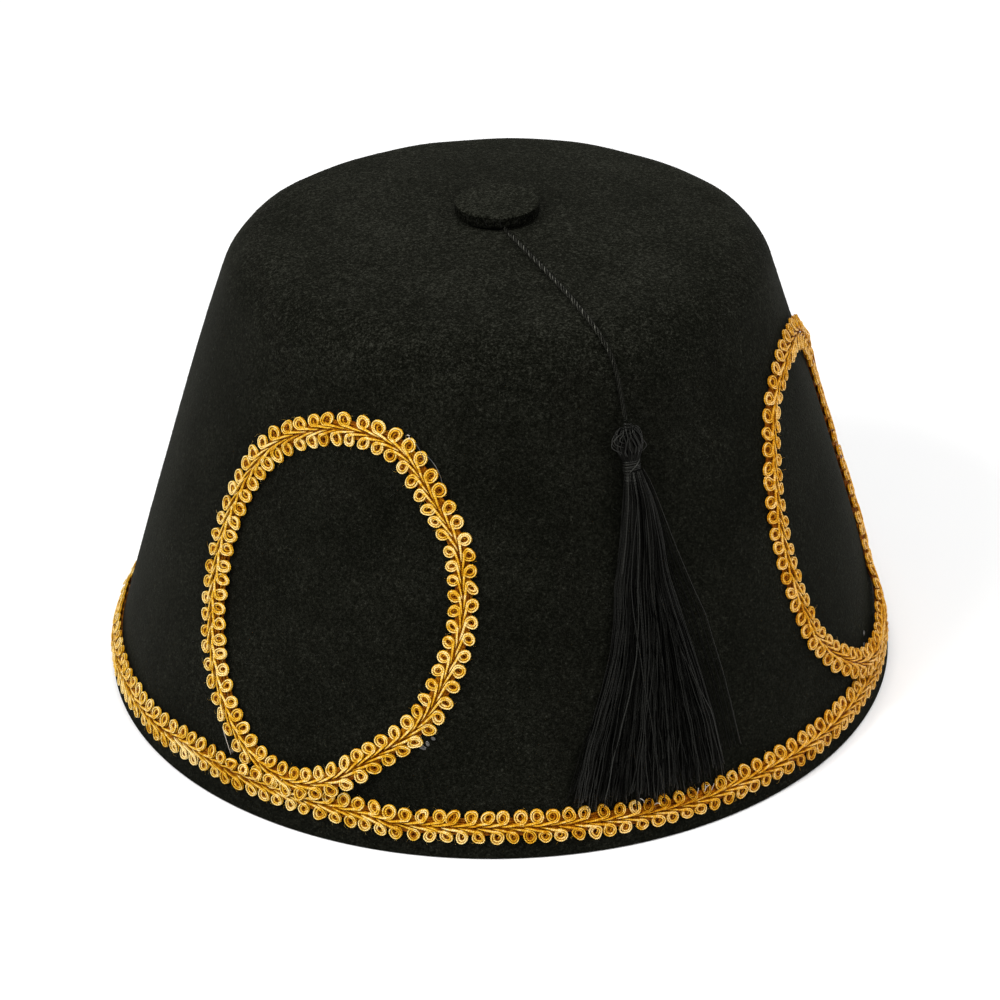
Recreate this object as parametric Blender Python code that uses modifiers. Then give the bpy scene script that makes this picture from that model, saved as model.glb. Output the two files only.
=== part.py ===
"""Fez hat: a hollow felt crown, a button, looped gold braid and a tassel on a cord.

Units are metres and +Z is up. The origin is the middle of the rim, which stands on
the XY plane. The tassel hangs on the -Y side, 23 degrees towards +X.

A place on the felt is given by its azimuth about +Z from +X, by the run, which is the
distance up the outer side from the rim, and by the lift, which is the distance off it.
"""
import math

import bmesh
import bpy
from mathutils import Matrix, Vector

OBJECT_NAME = "fez_hat"
GAP = 0.0003                     # clearance between pieces that touch

# Felt crown
RIM_RADIUS = 0.0950
CORNER_RADIUS = 0.0604           # where the lines of the wall and the top would meet
CORNER_HEIGHT = 0.1098
SHOULDER_RADIUS = 0.0137
DOME_RISE = 0.0044
WALL_BULGE = 0.0006
FELT = 0.0030
RIM_ROUND = 0.0004
PLAN_RATIO = 1.0373              # length of the oval plan over its width
PLAN_TURN = math.radians(10.8)   # long axis of the plan, from +X
CROWN_SEGMENTS = 70
WALL_STEPS = 5
SHOULDER_STEPS = 6
DOME_STEPS = 4

# Button on the top
BUTTON_RADIUS = 0.0097
BUTTON_THICKNESS = 0.0031
BUTTON_ROUND = 0.0007

# Looped braid
BRAID_HALF_WIDTH = 0.0040
BRAID_WAIST = 0.0032             # half the width between two loops
BRAID_EDGE = 0.0008
BRAID_RIDGE = 0.0013
LOOP_PITCH = 0.0040

# Braid round the base
BASE_RUN = 0.0079
BASE_WAVE = 0.0006               # the braid rises and dips twice on its way round
BASE_WAVE_AZIMUTH = math.radians(-125.0)

# Braid ovals: azimuth (degrees) and run of the middle, half width, half height, lean
# of the upright axis, and shares by which the sides taper, bow, fill out and skew
OVALS = {
    "oval_braid_left": (-118.2, 0.0535, 0.0312, 0.0411, 0.055, 0.005, -0.018, -0.089, -0.031),
    "oval_braid_right": (-15.9, 0.0530, 0.0297, 0.0410, 0.076, -0.031, -0.003, 0.066, 0.004),
}
OVAL_CREST = GAP + BRAID_RIDGE + GAP   # lift of an oval where it crosses the base braid
OVAL_CREST_RUN = 0.0172
OVAL_DOWN_RUN = 0.0235

# Cord from the button to the tassel: azimuth (degrees), run and lift of its middle line
CORD_RADIUS = 0.0005
CORD_SPACING = 0.0024
CORD_ROUTE = (
    (-80.0, 0.1638, 0.0009),
    (-74.8, 0.1555, 0.0009),
    (-72.0, 0.1470, 0.0009),
    (-70.3, 0.1372, 0.0009),
    (-69.4, 0.1293, 0.0009),
    (-69.0, 0.1214, 0.0009),
    (-68.1, 0.1158, 0.0009),
    (-67.1, 0.1110, 0.0009),
    (-66.6, 0.1060, 0.0009),
    (-66.4, 0.1012, 0.0011),
    (-66.7, 0.0968, 0.0028),
)

# Tassel
TASSEL_AZIMUTH = -66.8
HEAD_RUN = 0.0961                # top of the head
HEAD_LIFT = 0.0035
HEAD_DEPTH = 0.78                # depth of the head over its width
HEAD_PROFILE = (                 # distance below the top of the head, and radius
    (0.0000, 0.0019),
    (0.0006, 0.0031),
    (0.0019, 0.0038),
    (0.0037, 0.0039),
    (0.0054, 0.0034),
    (0.0067, 0.0026),
    (0.0073, 0.0023),
    (0.0105, 0.0023),
    (0.0110, 0.0025),
    (0.0120, 0.0028),
)
HEAD_SEGMENTS = 12
LOCK_TOP_RUN = 0.0868
LOCK_TOP_RADIUS = 0.0012
LOCK_END_RADIUS = 0.0018
LOCK_STEPS = 6
LOCK_TOP_SPREAD = 1.5            # degrees either side of the tassel's azimuth
LOCKS = (                        # azimuth (degrees) and run of each lock's cut end
    (-79.4, 0.0146),
    (-77.7, 0.0137),
    (-75.9, 0.0140),
    (-74.1, 0.0131),
    (-72.4, 0.0136),
    (-70.7, 0.0130),
    (-69.0, 0.0135),
    (-67.3, 0.0130),
    (-65.6, 0.0136),
    (-63.9, 0.0131),
    (-62.3, 0.0137),
    (-60.7, 0.0142),
    (-59.1, 0.0152),
)

# Materials: base colour, roughness, metallic value
FINISHES = {
    "crown_felt": ((0.0105, 0.0105, 0.0090), 0.95, 0.0),
    "button_felt": ((0.0115, 0.0115, 0.0100), 0.95, 0.0),
    "braid_base": ((0.72, 0.42, 0.06), 0.45, 0.15),
    "braid_left": ((0.72, 0.42, 0.06), 0.45, 0.15),
    "braid_right": ((0.70, 0.38, 0.05), 0.45, 0.15),
    "cord_thread": ((0.010, 0.010, 0.011), 0.55, 0.0),
    "tassel_thread": ((0.011, 0.011, 0.012), 0.50, 0.0),
}


def plan_matrix():
    """Stretch a round plan to the oval one, along its own long axis."""
    turn = Matrix.Rotation(PLAN_TURN, 4, "Z")
    stretch = Matrix.Diagonal((math.sqrt(PLAN_RATIO), 1.0 / math.sqrt(PLAN_RATIO), 1.0, 1.0))
    return turn @ stretch @ turn.inverted()


PLAN = plan_matrix()


def felt_side(wall_steps, shoulder_steps, dome_steps):
    """Points (radius, height) of the felt's outer side from the rim up to the axis."""
    rim = Vector((RIM_RADIUS, 0.0))
    corner = Vector((CORNER_RADIUS, CORNER_HEIGHT))
    wall = (corner - rim).normalized()
    top = Vector((-1.0, 2.0 * DOME_RISE / CORNER_RADIUS)).normalized()
    reach = SHOULDER_RADIUS * math.tan(wall.angle(top) / 2.0)
    start = corner - wall * reach
    end = corner + top * reach
    inward = Vector((-wall.y, wall.x))
    centre = start + inward * SHOULDER_RADIUS
    points = []
    for i in range(wall_steps + 1):
        t = i / wall_steps
        bulge = 4.0 * WALL_BULGE * t * (1.0 - t)
        points.append(rim.lerp(start, t) - inward * bulge)
    first = math.atan2(start.y - centre.y, start.x - centre.x)
    last = math.atan2(end.y - centre.y, end.x - centre.x)
    for i in range(1, shoulder_steps + 1):
        angle = first + (last - first) * i / shoulder_steps
        points.append(centre + SHOULDER_RADIUS * Vector((math.cos(angle), math.sin(angle))))
    for i in range(1, dome_steps + 1):
        radius = end.x * (1.0 - i / dome_steps)
        rise = DOME_RISE * (end.x ** 2 - radius ** 2) / CORNER_RADIUS ** 2
        points.append(Vector((radius, end.y + rise)))
    return points


class FeltSide:
    """The outer side as a fine line that is read by its run."""

    def __init__(self):
        self.points = felt_side(120, 80, 120)
        self.runs = [0.0]
        for a, b in zip(self.points, self.points[1:]):
            self.runs.append(self.runs[-1] + (b - a).length)

    def at(self, run):
        """Radius and height at a run."""
        run = min(max(run, 0.0), self.runs[-1])
        low, high = 0, len(self.runs) - 1
        while high - low > 1:
            middle = (low + high) // 2
            if self.runs[middle] <= run:
                low = middle
            else:
                high = middle
        t = (run - self.runs[low]) / (self.runs[high] - self.runs[low])
        return self.points[low].lerp(self.points[high], t)


SIDE = FeltSide()


def on_felt(azimuth, run, lift):
    """Place in space of an azimuth (radians), a run and a lift."""
    here = SIDE.at(run)
    along = (SIDE.at(run + 0.0006) - SIDE.at(run - 0.0006)).normalized()
    place = here + lift * Vector((along.y, -along.x))
    return PLAN @ Vector((place.x * math.cos(azimuth), place.x * math.sin(azimuth), place.y))


def smooth_step(value, low, high):
    """Rise smoothly from 0 at low to 1 at high."""
    t = min(max((value - low) / (high - low), 0.0), 1.0)
    return t * t * (3.0 - 2.0 * t)


def spline_row(rows, count):
    """Read a smooth line through rows of numbers at evenly spaced places."""
    padded = [rows[0], *rows, rows[-1]]
    spans = len(rows) - 1
    line = []
    for i in range(count + 1):
        place = spans * i / count
        k = min(int(place), spans - 1)
        t = place - k
        values = []
        for p0, p1, p2, p3 in zip(*padded[k:k + 4]):
            slope_in = (p2 - p0) / 2.0
            slope_out = (p3 - p1) / 2.0
            values.append(
                (2 * t ** 3 - 3 * t ** 2 + 1) * p1
                + (t ** 3 - 2 * t ** 2 + t) * slope_in
                + (3 * t ** 2 - 2 * t ** 3) * p2
                + (t ** 3 - t ** 2) * slope_out
            )
        line.append(tuple(values))
    return line


def material(name):
    """A plain Principled material from the table of finishes."""
    colour, roughness, metallic = FINISHES[name]
    made = bpy.data.materials.new(name)
    made.use_nodes = True
    shader = made.node_tree.nodes["Principled BSDF"]
    shader.inputs["Base Color"].default_value = (*colour, 1.0)
    shader.inputs["Roughness"].default_value = roughness
    shader.inputs["Metallic"].default_value = metallic
    made.diffuse_color = (*colour, 1.0)
    return made


def add_mesh(name, mesh, finish, collection, sharp_angle=40.0):
    """Wrap a mesh as a smooth object with its own material."""
    obj = bpy.data.objects.new(name, mesh)
    collection.objects.link(obj)
    mesh.materials.clear()
    mesh.materials.append(material(finish))
    mesh.shade_smooth()
    mesh.set_sharp_from_angle(angle=math.radians(sharp_angle))
    return obj


def evaluated_mesh(obj):
    """The mesh of an object with its modifiers, in world space; the object is removed."""
    graph = bpy.context.evaluated_depsgraph_get()
    mesh = bpy.data.meshes.new_from_object(obj.evaluated_get(graph))
    mesh.transform(obj.matrix_world)
    bpy.data.objects.remove(obj)
    return mesh


def weld(mesh, distance=0.00001):
    """Merge points that lie together, and face all sides outward."""
    edit = bmesh.new()
    edit.from_mesh(mesh)
    bmesh.ops.remove_doubles(edit, verts=edit.verts, dist=distance)
    bmesh.ops.recalc_face_normals(edit, faces=edit.faces)
    edit.to_mesh(mesh)
    edit.free()
    return mesh


def turned(name, outline, segments, collection):
    """Turn an outline of (radius, height) points about Z with a Screw modifier."""
    mesh = bpy.data.meshes.new(name)
    points = [(radius, 0.0, height) for radius, height in outline]
    mesh.from_pydata(points, [(i, i + 1) for i in range(len(points) - 1)], [])
    obj = bpy.data.objects.new(name, mesh)
    collection.objects.link(obj)
    screw = obj.modifiers.new("Turn", "SCREW")
    screw.axis = "Z"
    screw.steps = segments
    screw.render_steps = segments
    screw.use_merge_vertices = True
    screw.merge_threshold = 0.00002
    return evaluated_mesh(obj)


def make_crown(collection):
    """The hollow felt body, open below, with a flat rim."""
    outer = felt_side(WALL_STEPS, SHOULDER_STEPS, DOME_STEPS)
    inner = []
    for i, point in enumerate(outer):
        before = outer[max(i - 1, 0)]
        after = outer[min(i + 1, len(outer) - 1)]
        along = (after - before).normalized()
        inner.append(point - FELT * Vector((along.y, -along.x)))
    inner[-1] = Vector((0.0, outer[-1].y - FELT))
    rim_outer = outer[0]
    slope = (outer[1] - outer[0]) / (outer[1].y - outer[0].y)
    inner_rim = inner[1] - slope * inner[1].y
    outline = list(reversed(outer[1:]))
    outline.append(rim_outer + slope * RIM_ROUND)
    outline.append(rim_outer - Vector((RIM_ROUND, 0.0)))
    outline.append(inner_rim + Vector((RIM_ROUND, 0.0)))
    outline.append(inner_rim + slope * RIM_ROUND)
    outline.extend(inner[1:])
    mesh = turned("crown", [tuple(p) for p in outline], CROWN_SEGMENTS, collection)
    mesh.transform(PLAN)
    add_mesh("crown", weld(mesh), "crown_felt", collection, 50.0)


def make_button(collection):
    """The felt button, a round-edged disc that rests on the middle of the top."""
    base = SIDE.points[-1].y + GAP
    disc = bmesh.new()
    bmesh.ops.create_cone(
        disc, cap_ends=True, segments=32, radius1=BUTTON_RADIUS, radius2=BUTTON_RADIUS,
        depth=BUTTON_THICKNESS,
        matrix=Matrix.Translation((0.0, 0.0, base + BUTTON_THICKNESS / 2.0)),
    )
    rims = [edge for edge in disc.edges if len(edge.link_faces[0].verts) > 4
            or len(edge.link_faces[1].verts) > 4]
    bmesh.ops.bevel(disc, geom=rims, offset=BUTTON_ROUND, segments=2, profile=0.5,
                    affect="EDGES")
    mesh = bpy.data.meshes.new("button")
    disc.to_mesh(mesh)
    disc.free()
    add_mesh("button", mesh, "button_felt", collection, 35.0)


def base_line(t):
    """Azimuth, run and lift of the base braid at a part t of the way round."""
    azimuth = 2.0 * math.pi * t
    run = BASE_RUN + BASE_WAVE * math.cos(2.0 * (azimuth - BASE_WAVE_AZIMUTH))
    return azimuth, run, GAP


def oval_line(shape):
    """A function like base_line for an oval that rides over the base braid."""
    middle, middle_run, half_width, half_height, lean, taper, bow, fill, skew = shape

    def line(t):
        angle = 2.0 * math.pi * t
        c, s = math.cos(angle), math.sin(angle)
        side = half_width * (c * (1.0 + taper * s + fill * s * s) + bow * s * s)
        side += lean * half_height * s
        run = middle_run + half_height * s * (1.0 + skew * c)
        azimuth = math.radians(middle) + side / SIDE.at(run).x
        crest = 1.0 - smooth_step(run, OVAL_CREST_RUN, OVAL_DOWN_RUN)
        return azimuth, run, GAP + (OVAL_CREST - GAP) * crest

    return line


def even_places(line, pitch):
    """Parts t of a closed line at an even spacing near a pitch."""
    fine = 1440
    spots = [on_felt(*line(i / fine)) for i in range(fine + 1)]
    lengths = [0.0]
    for a, b in zip(spots, spots[1:]):
        lengths.append(lengths[-1] + (b - a).length)
    loops = 2 * round(lengths[-1] / pitch / 2.0)
    count = 2 * loops
    places, k = [], 0
    for i in range(count):
        target = lengths[-1] * i / count
        while lengths[k + 1] < target:
            k += 1
        part = (target - lengths[k]) / (lengths[k + 1] - lengths[k])
        places.append((k + part) / fine)
    return places


def make_braid(name, line, finish, collection):
    """A closed ribbon along a line on the felt, wide at each loop and waisted between."""
    body = bmesh.new()
    rings = []
    for i, t in enumerate(even_places(line, LOOP_PITCH)):
        here = on_felt(*line(t))
        azimuth, run, lift = line(t)
        up = (on_felt(azimuth, run, lift + 0.001) - here).normalized()
        along = (on_felt(*line(t + 0.0005)) - on_felt(*line(t - 0.0005))).normalized()
        across = up.cross(along).normalized()
        half = BRAID_HALF_WIDTH if i % 2 == 0 else BRAID_WAIST
        section = (
            (-half, 0.0),
            (half, 0.0),
            (half, BRAID_EDGE),
            (0.0, BRAID_RIDGE),
            (-half, BRAID_EDGE),
        )
        rings.append([body.verts.new(here + across * u + up * h) for u, h in section])
    for a, b in zip(rings, rings[1:] + rings[:1]):
        for k in range(5):
            n = (k + 1) % 5
            body.faces.new((a[k], a[n], b[n], b[k]))
    bmesh.ops.recalc_face_normals(body, faces=body.faces)
    mesh = bpy.data.meshes.new(name)
    body.to_mesh(mesh)
    body.free()
    add_mesh(name, mesh, finish, collection, 60.0)


def tube(name, points, radii, resolution, collection):
    """A round tube with filled ends along points, made a welded mesh."""
    curve = bpy.data.curves.new(name, "CURVE")
    curve.dimensions = "3D"
    curve.bevel_depth = 1.0
    curve.bevel_resolution = resolution
    curve.use_fill_caps = True
    spline = curve.splines.new("POLY")
    spline.points.add(len(points) - 1)
    for spot, point, radius in zip(spline.points, points, radii):
        spot.co = (*point, 1.0)
        spot.radius = radius
    obj = bpy.data.objects.new(name, curve)
    collection.objects.link(obj)
    return weld(evaluated_mesh(obj))


def route_place(row):
    """The place of one row of the cord's route."""
    azimuth, run, lift = row
    return on_felt(math.radians(azimuth), run, lift)


def make_cord(collection):
    """The cord, over the top, the shoulder and the wall to the head of the tassel."""
    route = [route_place(row) for row in CORD_ROUTE]
    length = sum((b - a).length for a, b in zip(route, route[1:]))
    rows = spline_row(CORD_ROUTE, round(length / CORD_SPACING))
    points = [route_place(row) for row in rows]
    mesh = tube("tassel_cord", points, [CORD_RADIUS] * len(points), 2, collection)
    add_mesh("tassel_cord", mesh, "cord_thread", collection, 60.0)


def make_tassel(collection, workshop):
    """Head, binding and fanned locks, fused to one solid that lies along the wall."""
    azimuth = math.radians(TASSEL_AZIMUTH)
    top = on_felt(azimuth, HEAD_RUN, HEAD_LIFT)
    foot = on_felt(azimuth, HEAD_RUN - 0.012, HEAD_LIFT - 0.0007)
    down = (foot - top).normalized()
    out = on_felt(azimuth, HEAD_RUN, HEAD_LIFT + 0.001) - top
    out = (out - down * out.dot(down)).normalized()
    side = out.cross(down)
    outline = [(0.0, 0.0), *[(r, -d) for d, r in HEAD_PROFILE], (0.0, -HEAD_PROFILE[-1][0])]
    mesh = turned("head", outline, HEAD_SEGMENTS, workshop)
    place = Matrix.Translation(top) @ Matrix((
        (side.x, out.x, -down.x, 0.0),
        (side.y, out.y, -down.y, 0.0),
        (side.z, out.z, -down.z, 0.0),
        (0.0, 0.0, 0.0, 1.0),
    ))
    mesh.transform(place @ Matrix.Diagonal((1.0, HEAD_DEPTH, 1.0, 1.0)))
    tassel = add_mesh("tassel", weld(mesh), "tassel_thread", collection, 45.0)
    for i, (end_azimuth, end_run) in enumerate(LOCKS):
        share = i / (len(LOCKS) - 1)
        top_azimuth = TASSEL_AZIMUTH + LOCK_TOP_SPREAD * (2.0 * share - 1.0)
        outer = 0.0013 if i % 2 else 0.0
        points, radii = [], []
        for k in range(LOCK_STEPS + 1):
            t = k / LOCK_STEPS
            radius = LOCK_TOP_RADIUS + (LOCK_END_RADIUS - LOCK_TOP_RADIUS) * t
            lift = GAP + radius + 0.0002 + outer * (0.35 + 0.65 * t) + 0.0014 * (1.0 - t) ** 2
            spot = top_azimuth + (end_azimuth - top_azimuth) * t
            run = LOCK_TOP_RUN + (end_run - LOCK_TOP_RUN) * t
            points.append(on_felt(math.radians(spot), run, lift))
            radii.append(radius)
        lock = add_mesh(f"lock_{i}", tube(f"lock_{i}", points, radii, 1, workshop),
                        "tassel_thread", workshop)
        lock.hide_render = True
        lock.display_type = "WIRE"
        fuse = tassel.modifiers.new(f"Fuse {i}", "BOOLEAN")
        fuse.operation = "UNION"
        fuse.solver = "EXACT"
        fuse.object = lock


def main():
    for obj in list(bpy.data.objects):
        bpy.data.objects.remove(obj)
    parts = bpy.data.collections.new(OBJECT_NAME)
    workshop = bpy.data.collections.new("cutters")
    bpy.context.scene.collection.children.link(parts)
    bpy.context.scene.collection.children.link(workshop)
    make_crown(parts)
    make_button(parts)
    make_braid("base_braid", base_line, "braid_base", parts)
    make_braid("oval_braid_left", oval_line(OVALS["oval_braid_left"]), "braid_left", parts)
    make_braid("oval_braid_right", oval_line(OVALS["oval_braid_right"]), "braid_right", parts)
    make_cord(parts)
    make_tassel(parts, workshop)


main()
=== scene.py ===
"""Looks of the fez hat: pressed felt, looped gold braid, a twisted cord and a tassel.

Units are metres and +Z is up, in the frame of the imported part. A place on the felt is
given by its azimuth about +Z from +X, by the run, which is the distance up the outer
side from the rim, and by the lift, which is the distance off it. On a braid, a place is
given by its length along the middle line, across it and above it.
"""
import math

import bpy
import numpy as np
from mathutils import Matrix, Vector


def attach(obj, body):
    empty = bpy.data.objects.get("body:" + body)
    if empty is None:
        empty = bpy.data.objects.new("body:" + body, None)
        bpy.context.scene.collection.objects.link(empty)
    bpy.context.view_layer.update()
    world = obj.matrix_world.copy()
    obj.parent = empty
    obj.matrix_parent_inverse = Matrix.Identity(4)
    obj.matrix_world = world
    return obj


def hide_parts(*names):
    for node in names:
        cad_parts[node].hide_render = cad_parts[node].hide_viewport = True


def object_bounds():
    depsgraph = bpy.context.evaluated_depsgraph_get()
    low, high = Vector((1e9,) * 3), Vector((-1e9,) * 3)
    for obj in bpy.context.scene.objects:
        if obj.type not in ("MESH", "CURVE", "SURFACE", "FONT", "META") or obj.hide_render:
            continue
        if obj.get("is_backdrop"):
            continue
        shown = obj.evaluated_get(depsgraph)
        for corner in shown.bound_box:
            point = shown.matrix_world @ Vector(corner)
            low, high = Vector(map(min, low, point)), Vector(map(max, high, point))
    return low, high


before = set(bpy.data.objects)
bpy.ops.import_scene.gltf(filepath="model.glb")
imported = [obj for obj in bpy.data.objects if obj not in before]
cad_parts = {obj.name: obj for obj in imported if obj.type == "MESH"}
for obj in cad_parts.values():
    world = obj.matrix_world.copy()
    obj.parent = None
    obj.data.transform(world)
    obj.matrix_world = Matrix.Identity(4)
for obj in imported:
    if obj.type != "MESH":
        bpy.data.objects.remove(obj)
CAD_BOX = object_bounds()

TAU = 2.0 * math.pi  # one whole turn
PROBE = 0.001  # a short way off the felt, to read its direction

# Camera, where the photograph was taken from
CAMERA_DISTANCE = 0.66564  # to the point on the hat's axis that it looks at
CAMERA_AIM = 0.03787  # height of that point
CAMERA_PITCH = math.radians(30.327)
CAMERA_ROLL = math.radians(-0.569)
FOCAL_LENGTH = 0.09802  # for a sensor 36 mm wide
SENSOR_WIDTH = 0.036

# Felt crown, with the same values as the part's source
GAP = 0.0003
RIM_RADIUS = 0.0950
CORNER_RADIUS = 0.0604
CORNER_HEIGHT = 0.1098
SHOULDER_RADIUS = 0.0137
DOME_RISE = 0.0044
WALL_BULGE = 0.0006
FELT = 0.0030
PLAN_RATIO = 1.0373
PLAN_TURN = math.radians(10.8)

# Mesh of the crown
RIM_ROUND = 0.0006  # softer than the solid's
CROWN_SEGMENTS = 320
OUTER_RINGS = 141
INNER_RINGS = 61
INNER_START = 0.0022  # run of the felt's lowest ring on the hollow side
FELT_WAVE = 0.00012  # how far the pressed felt rises and dips

# Fibres that stand out of the felt
FUZZ_COUNT = 6000
FUZZ_LENGTH = (0.0007, 0.0022)
FUZZ_RADIUS = 0.000020
FUZZ_LIFT = 0.00016
FUZZ_CURL = 1.1  # spread of the turn from end to end, in radians
FUZZ_CLEAR = 0.004  # a fibre nearer the axis turns about it as it would here

# Button
BUTTON_RADIUS = 0.0097
BUTTON_THICKNESS = 0.0031
BUTTON_ROUND = 0.0007
BUTTON_DOME = 0.00008
BUTTON_STITCHES = 34
STITCH_RADIUS = 0.00010
STITCH_TOP = 0.0004  # below the button's top
STITCH_FOOT = 0.0002  # above the button's foot
STITCH_GRIP = 0.0009  # how far a stitch's ends go in

# Looped braid
LOOP_PITCH = 0.00365
RING_RADIUS = 0.00130  # to the middle of the outer strand
RING_POINT = 0.16  # share by which a ring reaches further towards the middle line
RING_START = math.radians(-62.0)
OUTER_TURN = math.radians(372.0)
OUTER_RADIUS = 0.00015
OUTER_STEPS = 22
INNER_TURN = math.radians(500.0)
INNER_RADIUS = 0.00024
INNER_STEPS = 22
INNER_GAP = 0.00040  # between the middles of the two strands of a loop
INNER_END = 0.00054  # how near the middle of a ring the inner strand ends
RING_HEIGHT = 0.00094
INNER_DROP = 0.00016
FUNNEL = 0.00028  # how far the inner strand sinks on its way to the middle
STEM_LENGTH = 0.0045
STEM_FOOT = 0.00022  # across, where a stem comes up in the middle
STEM_STEPS = 8
STEM_RADIUS = 0.00016
STEM_SINK = 0.00008  # how far the inner strand's stem lies below the outer one's
STEM_LOW = 0.00080
STEM_HIGH = 0.00136
RING_TILT = 0.00014  # how far a ring's outer side lies below its middle
UNDER_DROP = 0.00042  # how far a third strand lies below the outer one
UNDER_RADIUS = 0.00024
PAD_TURN = 0.00060  # radius of the turn of thick strand that fills a ring from below
PAD_RADIUS = 0.00042
PAD_HEIGHT = 0.00036
TUCK = 0.00022  # how far the outer strand's end goes in and down
CORE_RADIUS = 0.00038
# Strands under the stems, painted dark as the shade there: across, height, tint, and what share of
# a rise they don't follow
CORE = (
    (-0.00160, 0.00006, -0.10, 1.0),
    (-0.00112, 0.00022, -0.06, 0.4),
    (-0.00056, 0.00036, -0.05, 0.0),
    (0.0, 0.00046, -0.04, 0.0),
    (0.0, 0.00034, -0.10, 1.0),
    (0.00056, 0.00036, -0.05, 0.0),
    (0.00112, 0.00022, -0.06, 0.4),
    (0.00160, 0.00006, -0.10, 1.0),
)
CORE_STEP = 0.0012
CORE_WAVER = 0.00010  # the core's strands snake a little, in waves
CORE_WAVE = 0.0041
HAIR_RADIUS = 0.000024  # fine hairs that stand out of the rings
HAIR_LENGTH = (0.0004, 0.0011)
LINE_STEPS = 2880  # of a braid's middle line
TABLE_STEPS = 400  # of the smooth lines through WANDERS and SWELLS
BASE_CENTRE = 0.00224  # from the middle line to the middle of a ring
OVAL_CENTRE = 0.00220
BASE_RUN = 0.0079
BASE_WAVE = 0.0006
BASE_WAVE_AZIMUTH = math.radians(-125.0)
# Azimuth (degrees) and run of the middle, half the width and the height, and what makes
# the oval lean, taper, bow, swell and skew
OVALS = {
    "left": (-118.2, 0.0535, 0.0312, 0.0411, 0.055, 0.005, -0.018, -0.089, -0.031),
    "right": (-15.9, 0.0530, 0.0297, 0.0410, 0.076, -0.031, -0.003, 0.066, 0.004),
}
# Share of the way round, and how far (mm) the braid strays sideways from its line
WANDERS = {
    "left": (
        (0.00, 0.0), (0.05, 0.6), (0.08, 0.3), (0.12, 1.0), (0.15, 0.6), (0.19, -0.8),
        (0.24, 0.2), (0.29, 0.5), (0.34, -0.6), (0.42, -0.4), (0.50, 0.1), (0.60, -0.3),
        (0.70, -0.4), (0.78, -0.2), (0.82, 0.4), (0.85, 0.0), (0.90, -1.3), (0.95, -0.3),
        (1.00, 0.0),
    ),
    "right": (
        (0.00, 0.0), (0.06, 0.2), (0.12, 1.2), (0.16, 1.9), (0.22, 1.8), (0.26, 1.0), (0.29, 0.2),
        (0.34, -1.1), (0.38, -0.4), (0.45, -0.2), (0.50, -0.1), (0.56, -0.2), (0.585, -0.9),
        (0.62, -0.3), (0.70, -0.2), (0.80, 0.2), (1.00, 0.0),
    ),
    "base": (
        (0.00, -0.1), (0.20, 0.2), (0.40, -0.2), (0.53, -0.6), (0.59, -0.6), (0.61, 0.0),
        (0.66, 0.1), (0.695, 0.0), (0.71, -0.8), (0.74, -0.3), (0.77, -0.2), (0.80, -0.5),
        (0.83, -0.6), (0.86, 0.1), (0.93, 0.3), (1.00, -0.1),
    ),
}
# Share of the way round, how much wider the braid is, and how far (mm) it is raised
SWELLS = {
    "left": (
        (0.00, 0.90, 0.0), (0.04, 0.88, 0.0), (0.10, 0.93, 0.0), (0.16, 1.02, 0.0),
        (0.24, 1.02, 0.0), (0.30, 1.03, 0.2), (0.35, 1.09, 0.5), (0.41, 1.06, 0.5),
        (0.47, 1.14, 0.7), (0.54, 1.13, 0.7), (0.60, 1.07, 0.6), (0.67, 1.02, 0.3),
        (0.75, 1.02, 0.0), (0.85, 1.01, 0.0), (0.91, 1.03, 0.0), (0.96, 0.96, 0.0),
        (1.00, 0.90, 0.0),
    ),
    "right": (
        (0.00, 1.05, 0.3), (0.12, 1.10, 0.3), (0.21, 1.12, 0.3), (0.29, 1.04, 0.0),
        (0.37, 0.93, 0.0), (0.46, 0.92, 0.0), (0.54, 0.92, 0.0), (0.62, 1.00, 0.0),
        (0.80, 1.04, 0.0), (1.00, 1.05, 0.3),
    ),
    "base": (
        (0.00, 1.03, 0.0), (0.40, 1.03, 0.3), (0.53, 1.04, 0.5), (0.57, 1.05, 0.5),
        (0.60, 1.05, 0.2), (0.65, 1.00, 0.0), (0.72, 1.03, 0.0), (0.78, 1.06, 0.0),
        (0.815, 0.98, 0.0), (0.86, 1.05, 0.0), (0.89, 1.10, 0.2), (0.93, 1.03, 0.0),
        (1.00, 1.03, 0.0),
    ),
}
BULGE_AT = 0.14  # where the right oval's outer loops stand off the felt
BULGE_LIFT = 0.0008
BULGE_REACH = 0.11
OVAL_CREST = 0.0012  # how far an oval rises over the base braid
OVAL_CREST_RUN = 0.0172  # up to this run, and it is down again at the next
OVAL_DOWN_RUN = 0.0235
# Between these azimuths the base braid's upper loops lie over the left oval
UNDER_FROM = math.radians(-133.0)
UNDER_TO = math.radians(-121.0)
UNDER_BLEND = math.radians(2.5)
UNDER_LIFT = 0.0012
# Azimuths (degrees) of its frayed upper loops, and the share of their thickness left
WORN = (
    (-82.0, -70.8, 0.85), (-70.8, -68.5, 0.50), (-68.5, -64.1, 0.85), (-64.1, -59.8, 0.45),
    (-59.8, -56.0, 0.85),
)
# Azimuth (degrees) and side of its stained loops, and how much paler they are
STAINS = (
    (-141.8, -1.0, 0.45), (-139.9, -1.0, 0.30), (-130.5, -1.0, -0.15), (-88.0, -1.0, -0.12),
    (-66.5, 1.0, -0.25),
)

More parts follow.
